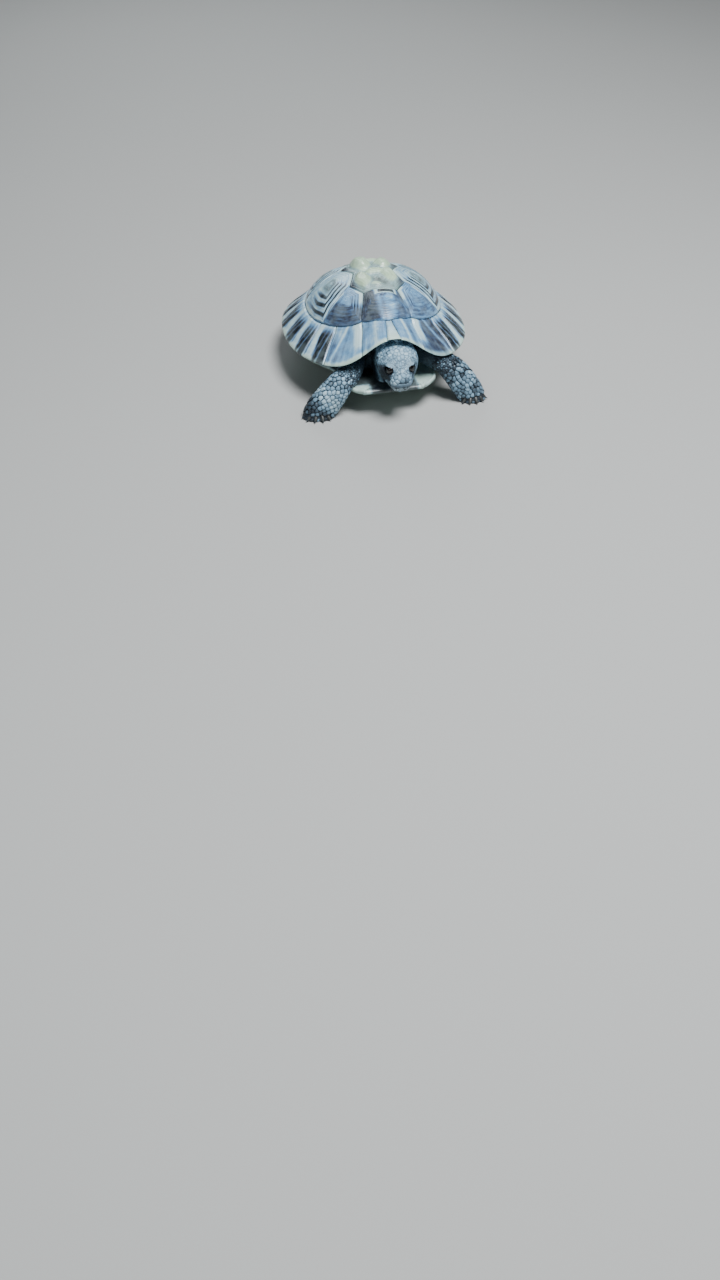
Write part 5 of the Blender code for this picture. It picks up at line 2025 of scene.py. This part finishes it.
@dataclass
class ScaleField:
    """The scales of one zone: discs cut halfway to their neighbours and raised, as one mesh."""

    name: str
    surface: SkinSurface
    path: LimbPath
    style: ScaleStyle
    spacing: SpacingRule
    tone: ToneRule
    seed: int = 1
    reach: float = 0.74
    neighbours: int = 10
    broad_scale: float = 0.0016
    map_scale: float = 0.0017

    def cells(self, roots: Array, outward: Array, sizes: Array, lie: Array) -> Tuple[Shape, List[int]]:
        """Return one flat face for each scale, all in one bmesh, and how many corners each has.

        Args:
            roots: The scales' roots.
            outward: The skin's normals there.
            sizes: Their spacings.
            lie: The way each scale points, along the skin.

        Returns:
            The bmesh and the corner counts.
        """
        near = tree_of(roots)
        joined, counts = bmesh.new(), []
        holder = bpy.data.meshes.new("cell")
        style = self.style
        for index, root in enumerate(roots):
            up, ahead, here = Vector(outward[index]), Vector(lie[index]), Vector(root)
            lay = Matrix((ahead.cross(up), ahead, up)).transposed().to_4x4()
            lay.translation = here
            cell = bmesh.new()
            bmesh.ops.create_circle(cell, cap_ends=True, segments=style.corners,
                                    radius=float(sizes[index]) * self.reach, matrix=lay)
            for place, other, _ in near.find_n(root, self.neighbours):
                away = place - here
                away -= up * away.dot(up)
                if other == index or up.dot(Vector(outward[other])) < 0.2 or away.length < 1e-6:
                    continue
                share = sizes[index] / (sizes[index] + sizes[other])
                way = away.normalized()
                halfway = (away.length * float(share) - style.gap / 2
                           + style.overlap * max(way.dot(ahead), 0.0))
                bmesh.ops.bisect_plane(cell, geom=cell.verts[:] + cell.edges[:] + cell.faces[:],
                                       plane_co=here + way * halfway, plane_no=way, clear_outer=True)
            whole = len(cell.faces) == 1 and len(cell.verts) > 2
            counts.append(len(cell.verts) if whole else 0)
            if whole:
                cell.to_mesh(holder)
                joined.from_mesh(holder)
            cell.free()
        bpy.data.meshes.remove(holder)
        return joined, counts

    def raise_cells(self, bm: Shape) -> None:
        """Give every flat face a body: walls, a rounded rim and a raised middle.

        Args:
            bm: The flat faces; its layer "level" then runs from 0 under the skin to 3 in the middle.
        """
        level = bm.verts.layers.float.new("level")
        grown = bmesh.ops.extrude_face_region(bm, geom=bm.faces[:], use_keep_orig=True)["geom"]
        tops = [g for g in grown if isinstance(g, bmesh.types.BMFace)]
        self.set_level([v for face in tops for v in face.verts], level, 1.0)
        bm.normal_update()
        bmesh.ops.inset_individual(bm, faces=tops, thickness=self.style.bevel, depth=0.0)
        self.set_level([v for face in tops for v in face.verts], level, 2.0)
        self.set_level(bmesh.ops.poke(bm, faces=tops)["verts"], level, 3.0)

    @staticmethod
    def set_level(verts: Sequence[bmesh.types.BMVert], layer: object, value: float) -> None:
        """Write a level into vertices."""
        for vertex in verts:
            vertex[layer] = value

    def build(self, finish: Material) -> Piece:
        """Build the zone's scales as one joined piece.

        Args:
            finish: The scales' material.

        Returns:
            The piece.
        """
        surface, style = self.surface, self.style
        roots, outward, sizes = surface.scatter(self.spacing(surface), style.relax, self.seed)
        _, way, _ = self.path.nearest(roots)
        lie = way - outward * dots(way, outward)[:, None]
        lie /= np.maximum(np.linalg.norm(lie, axis=1), 1e-6)[:, None]
        tones = self.tone(roots, outward)
        bm, counts = self.cells(roots, outward, sizes, lie)
        mark(bm, "scale", np.repeat(np.arange(len(roots)), counts))
        self.raise_cells(bm)
        owner, levels = np.rint(marked(bm, "scale")).astype(int), marked(bm, "level")
        spots = vertex_places(bm)
        offset = spots - roots[owner]
        along = dots(offset, lie[owner]) / sizes[owner]
        across = dots(offset, np.cross(lie[owner], outward[owner])) / sizes[owner]
        size_share = np.clip(sizes[owner] / self.broad_scale, 0.5, 1.5)
        heights = [-style.root_depth, style.height * 0.45, style.height, style.height + style.dome]
        body = np.interp(levels, range(4), heights) * np.where(levels > 0, size_share, 1)
        body += style.lean * np.clip(along + 0.25, -0.1, 1.0) * size_share
        # Painted shade on each scale's root and walls, and a slight painted highlight on its crown.
        shade = np.interp(levels, range(4), [style.rim_shade, style.rim_shade * 0.7, 0.0, -0.04])
        mark(bm, "tone", np.clip(tones[owner] - shade, 0, 1))
        for index, vertex in enumerate(bm.verts):
            hit, normal, _, _ = surface.tree.find_nearest(Vector(spots[index]))
            vertex.co = hit + (normal + Vector(outward[owner[index]])).normalized() * float(body[index])
            vertex.co.z = max(vertex.co.z, LIFT_OFF_GROUND * 1.2)
        face_out(bm)
        piece = settle(self.name, bm, finish)
        patch = self.path.unwrap(roots)[owner] + np.column_stack([across, along]) * self.map_scale
        corner_of = np.zeros(len(piece.data.loops), np.int32)
        piece.data.loops.foreach_get("vertex_index", corner_of)
        piece.data.uv_layers.new(name="OFBake").data.foreach_set(
            "uv", np.ascontiguousarray(patch[corner_of], np.float32).ravel())
        return piece


@dataclass(frozen=True)
class ScaleCoat:
    """Every zone's scales, with how large and how pale they are where."""

    surface: SkinSurface

    def head_spacing(self, skin: SkinSurface) -> Array:
        """Return the spacing over the head: plates on the snout, small scales on crown and cheeks.

        Args:
            skin: The skin.

        Returns:
            The spacing at each face, 0 where no scale roots.
        """
        local = HEAD.local(skin.centre)
        across, ahead, up = np.abs(local[:, 0]), local[:, 1], local[:, 2]
        size = 0.00175 - 0.00060 * ramp01(across, 0.0050, 0.0095)
        snout = (ramp01(ahead, 0.0155, 0.0185) * ramp01(up, 0.0010, 0.0030)
                 * (1 - ramp01(across, 0.0030, 0.0045)))
        size = size + 0.0005 * snout
        size = size - 0.00012 * ramp01(HEAD.mouth_height(ahead) - up, -0.0016, 0.0006)
        eye = HEAD.from_eyes(skin.centre)
        size = np.where(eye < 0.0052, 0.00078, size)
        horn = ((ahead > 0.0205) & (up < Beak.upper_edge(ahead) + 0.0002)
                & (up > HEAD.mouth_height(ahead) - 0.0022))
        mouth = (np.abs(up - HEAD.mouth_height(ahead)) < 0.00045) & (ahead > 0.0118)
        nostril = np.min([HEAD.from_nostril(skin.centre, side) for _, side in SIDES], axis=0) < 0.0010
        on_head = (skin.region == Region.HEAD) | ((skin.region == Region.NECK) & (up > 0.003))
        folded = (Hide.behind_cheek(ahead, up) > 0.5) & (up < 0.0015)
        bare = ~on_head | (ahead < 0.0002) | (eye < 0.0034) | horn | mouth | nostril | folded
        return np.where(bare, 0.0, size)

    def head_tone(self, roots: Array, outward: Array) -> Array:
        """Return the head scales' tones: pale crown with painted light at its back, dark flanks of the snout
        with painted shade on the right, white-blotched jaw.

        Args:
            roots: The scales' roots.
            outward: The skin's normals there, which don't matter here.

        Returns:
            The tone of each scale.
        """
        local = HEAD.local(roots)
        rng = np.random.default_rng(5)
        across, ahead, up = np.abs(local[:, 0]), local[:, 1], local[:, 2]
        tone = 0.76 + 0.14 * cloud(roots, 260.0, 2.0) + 0.14 * rng.standard_normal(len(roots))
        # Painted light on the back of the crown, which the shell's rim shades.
        tone += 0.20 * (1 - ramp01(ahead, 0.0040, 0.0070)) * ramp01(up, 0.0020, 0.0040)
        tone -= 0.20 * bump01(HEAD.from_eyes(roots), 0.0032, 0.0016) + 0.62 * face_shadow(roots)
        nose = np.linalg.norm(local - [0.0016, 0.0238, 0.0014], axis=1)
        tone -= 0.26 * (1 - ramp01(nose, 0.0012, 0.0030))
        jaw = ramp01(HEAD.mouth_height(ahead) - up, -0.0006, 0.0004)
        tone = tone * (1 - jaw) + jaw * (0.14 + 0.70 * (rng.random(len(roots)) > 0.50))
        return np.clip(tone - 0.16 * ramp01(across, 0.0080, 0.0105), 0, 1)

    @staticmethod
    def on_leg(skin: SkinSurface, along: Array, side: int, start: float, parts: Sequence[Region]) -> Array:
        """Return whether each face of the skin may carry one leg's scales, as its sole and claws may not.

        Args:
            skin: The skin.
            along: How far along the leg each face lies.
            side: 1 for a left leg, -1 for a right one.
            start: How far along the leg its scales start.
            parts: The leg's regions.

        Returns:
            True or False for each face.
        """
        here = np.isin(skin.region, parts) & (skin.centre[:, 0] * side > 0) & (along > start)
        return here & ~((skin.normal[:, 2] < -0.6) & (along > 0.8)) & ~Claws.covers(skin.centre)

    def front_spacing(self, path: LimbPath, side: int) -> SpacingRule:
        """Return the rule for a foreleg: large scales on its front, small ones behind and on the toes.

        Args:
            path: The leg's middle line.
            side: 1 for the left leg, -1 for the right.

        Returns:
            The spacing rule.
        """
        def rule(skin: SkinSurface) -> Array:
            """Return the spacing at each face."""
            along, _, _ = path.nearest(skin.centre)
            front = ramp01(skin.normal @ np.array([0.25 * side, -0.78, 0.58]), -0.15, 0.55)
            lower = ramp01(along, 0.38, 0.52)
            toes = ramp01(along, 0.88, 0.98)
            size = 0.00092 + 0.00098 * front * lower * (1 - 0.45 * toes) + 0.00012 * lower
            parts = (Region.FRONT_UPPER, Region.FRONT_LOWER, Region.FRONT_FOOT)
            return np.where(self.on_leg(skin, along, side, 0.30, parts), size, 0.0)
        return rule

    def front_tone(self, path: LimbPath, base: float, dark_toes: float) -> ToneRule:
        """Return the rule for a foreleg: pale blue-grey scales, dark toes, painted shadow of the shell on
        the upper part and painted shade on scales that face down or back.

        Args:
            path: The leg's middle line.
            base: The tone that the scales vary about.
            dark_toes: How much darker the toes are.

        Returns:
            The tone rule.
        """
        def rule(roots: Array, outward: Array) -> Array:
            """Return the tone of each scale."""
            along, _, _ = path.nearest(roots)
            rng = np.random.default_rng(int(dark_toes * 100))
            tone = base + 0.18 * rng.standard_normal(len(roots)) + 0.14 * cloud(roots, 210.0, 3.0)
            # The upper part gets painted shadow from the shell; the toes are darker.
            tone -= 0.30 * (1 - ramp01(along, 0.42, 0.64)) + dark_toes * ramp01(along, 0.76, 0.96)
            # Painted shade on scales that face down or back.
            tone -= 0.20 * (1 - ramp01(outward @ np.array([0.0, -0.6, 0.8]), -0.3, 0.3))
            return np.clip(tone, 0.05, 0.95)
        return rule

    def hind_spacing(self, path: LimbPath, side: int) -> SpacingRule:
        """Return the rule for a hind leg: large scales at the heel, middling ones elsewhere.

        Args:
            path: The leg's middle line.
            side: 1 for the left leg, -1 for the right.

        Returns:
            The spacing rule.
        """
        def rule(skin: SkinSurface) -> Array:
            """Return the spacing at each face."""
            along, _, _ = path.nearest(skin.centre)
            heel = (ramp01(skin.normal @ np.array([-0.1 * side, 0.9, 0.3]), 0.1, 0.7)
                    * ramp01(along, 0.55, 0.75))
            size = 0.00125 + 0.00085 * heel + 0.00025 * ramp01(along, 0.5, 0.7)
            parts = (Region.HIND_UPPER, Region.HIND_LOWER, Region.HIND_FOOT)
            return np.where(self.on_leg(skin, along, side, 0.34, parts), size, 0.0)
        return rule

    def tail_spacing(self, skin: SkinSurface) -> Array:
        """Return the spacing over the tail."""
        along, _, _ = TAIL.nearest(skin.centre)
        return np.where((skin.region == Region.TAIL) & (along > 0.2), 0.0013 - 0.0004 * along, 0.0)

    def neck_spacing(self, skin: SkinSurface) -> Array:
        """Return the spacing of the small beads on the neck and under the head.

        Args:
            skin: The skin.

        Returns:
            The spacing at each face, 0 where no bead roots.
        """
        _, ahead, up = HEAD.local(skin.centre).T
        here = (skin.region == Region.NECK) & ((ahead < 0.0) | (up <= 0.003)) & (ahead > -0.006)
        return np.where(here, 0.00092, 0.0)

    def neck_tone(self, roots: Array, outward: Array) -> Array:
        """Return the neck beads' tones: painted light on the ridges of the upright folds, painted shade
        between them.

        Args:
            roots: The beads' roots.
            outward: The skin's normals there, which don't matter here.

        Returns:
            The tone of each bead.
        """
        local = HEAD.local(roots)
        low = 1 - ramp01(local[:, 2], 0.0015, 0.0045)
        # Painted light on the folds' ridges and painted shade between them.
        fold = (0.12 + 0.88 * (0.5 + 0.5 * upright_fold(roots)) ** 1.5
                + 0.25 * ramp01(local[:, 0], 0.004, 0.007))
        return np.clip(0.58 * (1 - low) + fold * low + 0.06 * cloud(roots, 200.0), 0.03, 1.0)

    def even_tone(self, base: float, spread: float) -> ToneRule:
        """Return a rule that varies about one value.

        Args:
            base: The value.
            spread: How far the scales stray from it.

        Returns:
            The tone rule.
        """
        def rule(roots: Array, outward: Array) -> Array:
            """Return the tone of each scale."""
            rng = np.random.default_rng(17)
            tone = base + spread * rng.standard_normal(len(roots)) + 0.06 * cloud(roots, 200.0)
            return np.clip(tone, 0.05, 0.95)
        return rule

    def build(self, finish: Material) -> List[Piece]:
        """Build every zone.

        Args:
            finish: The scales' material.

        Returns:
            The pieces.
        """
        plate = ScaleStyle(height=0.00016, dome=0.00004, gap=0.00014, bevel=0.00013, rim_shade=0.30)
        shield = ScaleStyle(gap=0.00019, height=0.00036, dome=0.00011, lean=0.00034, overlap=0.00028,
                            bevel=0.00022, rim_shade=0.40)
        bead = ScaleStyle(height=0.00012, dome=0.00008, gap=0.00018, bevel=0.00012, corners=8,
                          rim_shade=0.14)
        skin = self.surface
        fields = [ScaleField("scales_head", skin, NECK, plate, self.head_spacing, self.head_tone, 3)]
        for name, path, side, base, dark_toes, seed in (("left", FRONT_LEFT, 1, 0.54, 0.26, 7),
                                                        ("right", FRONT_RIGHT, -1, 0.74, 0.56, 11)):
            fields.append(ScaleField(f"scales_front_{name}", skin, path, shield,
                                     self.front_spacing(path, side),
                                     self.front_tone(path, base, dark_toes), seed))
        for name, path, side, seed in (("left", HIND_LEFT, 1, 13), ("right", HIND_RIGHT, -1, 17)):
            fields.append(ScaleField(f"scales_hind_{name}", skin, path, shield,
                                     self.hind_spacing(path, side), self.even_tone(0.52, 0.10), seed))
        fields += [ScaleField("scales_tail", skin, TAIL, shield, self.tail_spacing,
                              self.even_tone(0.50, 0.08), 19),
                   ScaleField("scales_neck", skin, NECK, bead, self.neck_spacing, self.neck_tone, 23)]
        return [zone.build(finish) for zone in fields]


@dataclass(frozen=True)
class Beak:
    """The horn over both jaws: strips of the skin's own surface, raised and given a thickness."""

    proud: float = 0.00016
    wall: float = 0.00040
    back: float = 0.0196
    upper_depth: float = 0.0026
    lower_depth: float = 0.0018
    hook: float = 0.00035
    hook_start: float = 0.0225
    hook_half: float = 0.0016

    @staticmethod
    def upper_edge(ahead: Array) -> Array:
        """Return how high the upper horn reaches at distances along the snout."""
        return np.interp(ahead, [0.0190, 0.0225, 0.0256], [-0.0012, -0.0004, 0.0000])

    def cut(self, source: Shape, planes: Sequence[Tuple[Triple, Triple]]) -> Shape:
        """Return the part of the skin's front that lies behind every plane.

        Args:
            source: The whole skin.
            planes: A place and a direction for each plane along the head's axes; what lies ahead of it goes.

        Returns:
            The strip.
        """
        bm = source.copy()
        places = HEAD.local(face_places(bm))
        far = [f for f, p in zip(bm.faces, places)
               if p[1] < self.back - 0.001 or abs(p[0]) > 0.012 or p[1] > 0.04]
        bmesh.ops.delete(bm, geom=far, context="FACES")
        turn = HEAD.matrix().to_3x3()
        for place, way in planes:
            bmesh.ops.bisect_plane(bm, geom=bm.verts[:] + bm.edges[:] + bm.faces[:],
                                   plane_co=HEAD.place(*place),
                                   plane_no=turn @ Vector((way[0], -way[1], way[2])), clear_outer=True)
        return bm

    def build_one(self, name: str, hide: Shape, planes: Sequence[Tuple[Triple, Triple]],
                  finish: Material, upper: bool) -> Piece:
        """Build one jaw's horn.

        Args:
            name: The piece's name.
            hide: The whole skin.
            planes: The planes that bound the strip.
            finish: Its material.
            upper: Whether it is the upper one.

        Returns:
            The piece.
        """
        bm = self.cut(hide, planes)
        bm.normal_update()
        across, ahead, up = HEAD.local(vertex_places(bm)).T
        reach = (up - HEAD.mouth_height(ahead)) / (self.upper_depth if upper else -self.lower_depth)
        along = np.clip(1.0 - reach, 0.0, 1.0)
        mark(bm, "along", along)
        hook = self.hook * np.maximum(0.0, 1 - np.abs(across) / self.hook_half) * along
        down = HEAD.matrix().to_3x3() @ Vector((0.0, 0.0, -1.0))
        for vertex, drop in zip(bm.verts, hook * (ahead > self.hook_start) * upper):
            vertex.co += vertex.normal * self.proud + down * float(drop)
        bmesh.ops.solidify(bm, geom=bm.faces, thickness=self.wall)
        face_out(bm)
        return settle(name, bm, finish)

    def build(self, hide: Shape, upper_finish: Material, lower_finish: Material) -> List[Piece]:
        """Build the horn of both jaws.

        Args:
            hide: The whole skin.
            upper_finish: The upper jaw's material.
            lower_finish: The lower jaw's material.

        Returns:
            The two pieces.
        """
        upper = [((0.0, self.back, 0.0), (0.0, -1.0, -0.35)), ((0.0, 0.0225, -0.0004), (0.0, -0.17, 1.0)),
                 ((0.0, 0.0235, -0.0021), (0.0, 0.03, -1.0))]
        lower = [((0.0, self.back, -0.0030), (0.0, -1.0, 0.2)), ((0.0, 0.0235, -0.0025), (0.0, -0.02, 1.0)),
                 ((0.0, 0.0235, -0.0044), (0.0, 0.0, -1.0))]
        return [self.build_one("beak_upper", hide, upper, upper_finish, True),
                self.build_one("beak_lower", hide, lower, lower_finish, False)]


# --------------------------------------------------------------------------- studio


@dataclass(frozen=True)
class Lamp:
    """One soft round light."""

    name: str
    place: Triple
    size: float
    power: float
    colour: Colour


@dataclass(frozen=True)
class Studio:
    """The floor, lights and camera."""

    camera: Triple = (-0.09964, -0.47616, 0.2955)
    pitch: float = math.radians(46.8213)
    yaw: float = math.radians(-10.6657)
    lens: float = 27.984
    sensor_height: float = 36.0
    clip: Tuple[float, float] = (0.01, 20.0)
    floor_size: float = 3.0
    surround: Colour = (0.80, 0.88, 1.0)
    surround_strength: float = 0.035
    aim: Triple = (0.0, 0.0, 0.02)
    lamps: Tuple[Lamp, ...] = (Lamp("key", (0.16, -0.33, 0.86), 0.38, 15.5, (0.95, 0.98, 1.0)),
                               Lamp("fill", (-0.60, -0.60, 0.55), 0.50, 0.8, (0.86, 0.94, 1.0)),
                               Lamp("back", (-0.05, 0.75, 0.55), 0.50, 2.4, (0.90, 0.97, 1.0)))

    def build(self) -> None:
        """Set up everything round the model."""
        self.build_floor()
        self.build_lights()
        self.build_camera()

    def build_floor(self) -> None:
        """Make the floor."""
        bm = bmesh.new()
        bmesh.ops.create_grid(bm, x_segments=1, y_segments=1, size=self.floor_size)
        mesh = bpy.data.meshes.new("studio_floor")
        bm.to_mesh(mesh)
        bm.free()
        mesh.materials.append(FloorFinish().build())
        floor = bpy.data.objects.new("studio_floor", mesh)
        bpy.context.scene.collection.objects.link(floor)

    def build_lights(self) -> None:
        """Make the soft key from above in front, a fill, a light behind and a cool surround."""
        for plan in self.lamps:
            data = bpy.data.lights.new(plan.name, "AREA")
            data.shape = "DISK"
            data.size, data.energy, data.color = plan.size, plan.power, plan.colour
            lamp = bpy.data.objects.new(plan.name, data)
            lamp.location = plan.place
            lamp.rotation_euler = (Vector(self.aim) - Vector(plan.place)).to_track_quat("-Z", "Y").to_euler()
            bpy.context.scene.collection.objects.link(lamp)
        world = bpy.data.worlds.new("surround")
        world.use_nodes = True
        glow = world.node_tree.nodes["Background"].inputs
        glow[0].default_value = (*self.surround, 1.0)
        glow[1].default_value = self.surround_strength
        bpy.context.scene.world = world

    def build_camera(self) -> None:
        """Make the camera."""
        data = bpy.data.cameras.new("camera")
        data.sensor_fit = "VERTICAL"
        data.sensor_height = self.sensor_height
        data.lens = self.lens
        data.clip_start, data.clip_end = self.clip
        back = Vector((math.sin(self.yaw) * math.cos(self.pitch), -math.cos(self.yaw) * math.cos(self.pitch),
                       math.sin(self.pitch)))
        right = Vector((math.cos(self.yaw), math.sin(self.yaw), 0.0))
        place = Matrix((right, back.cross(right), back)).transposed().to_4x4()
        place.translation = Vector(self.camera)
        camera = bpy.data.objects.new("camera", data)
        camera.matrix_world = place
        bpy.context.scene.collection.objects.link(camera)
        bpy.context.scene.camera = camera


def corners(bounds: object) -> List[List[float]]:
    """Return a box's two corners as plain lists."""
    return [[float(c) for c in corner] for corner in bounds]


def main() -> None:
    """Build every piece in order and report each one's face count."""
    logging.basicConfig(level=logging.INFO, format="%(name)s: %(message)s")
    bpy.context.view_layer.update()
    SharedEffects().build()
    horn = HornFinish().build()
    bone = SkinFinish("seam_bone", dark=(0.06, 0.07, 0.09), middle=(0.12, 0.14, 0.16))
    scales = SkinFinish("pale_scales", roughness=0.46, pebble_scale=2600.0, pebble_height=0.00004,
                        crease_share=0.12)
    beak = ClawFinish("beak_horn", root=(0.20, 0.33, 0.45), tip=(0.035, 0.055, 0.08), roughness=0.40,
                      blotch=1.6)
    jaw = ClawFinish("jaw_horn", root=(0.34, 0.47, 0.53), tip=(0.015, 0.022, 0.03), roughness=0.40,
                     blotch=4.6)
    claw = ClawFinish("claw_horn", root=(0.010, 0.011, 0.013), tip=(0.052, 0.056, 0.054))
    made = ShellHorn(horn, bone.build()).build()
    made.append(Plastron().build(horn))
    hide = Hide()
    made.append(hide.build(SkinFinish("tortoise_skin").build()))
    made += ScaleCoat(SkinSurface(hide.bm)).build(scales.build())
    made += Beak().build(hide.bm, beak.build(), jaw.build())
    made += Eyes().build(EyeFinish().build())
    made += Claws().build(claw.build())
    for piece in made:
        log.info("%s: %d faces", piece.name, len(piece.data.polygons))
    Studio().build()


if __name__ == "__main__":
    main()
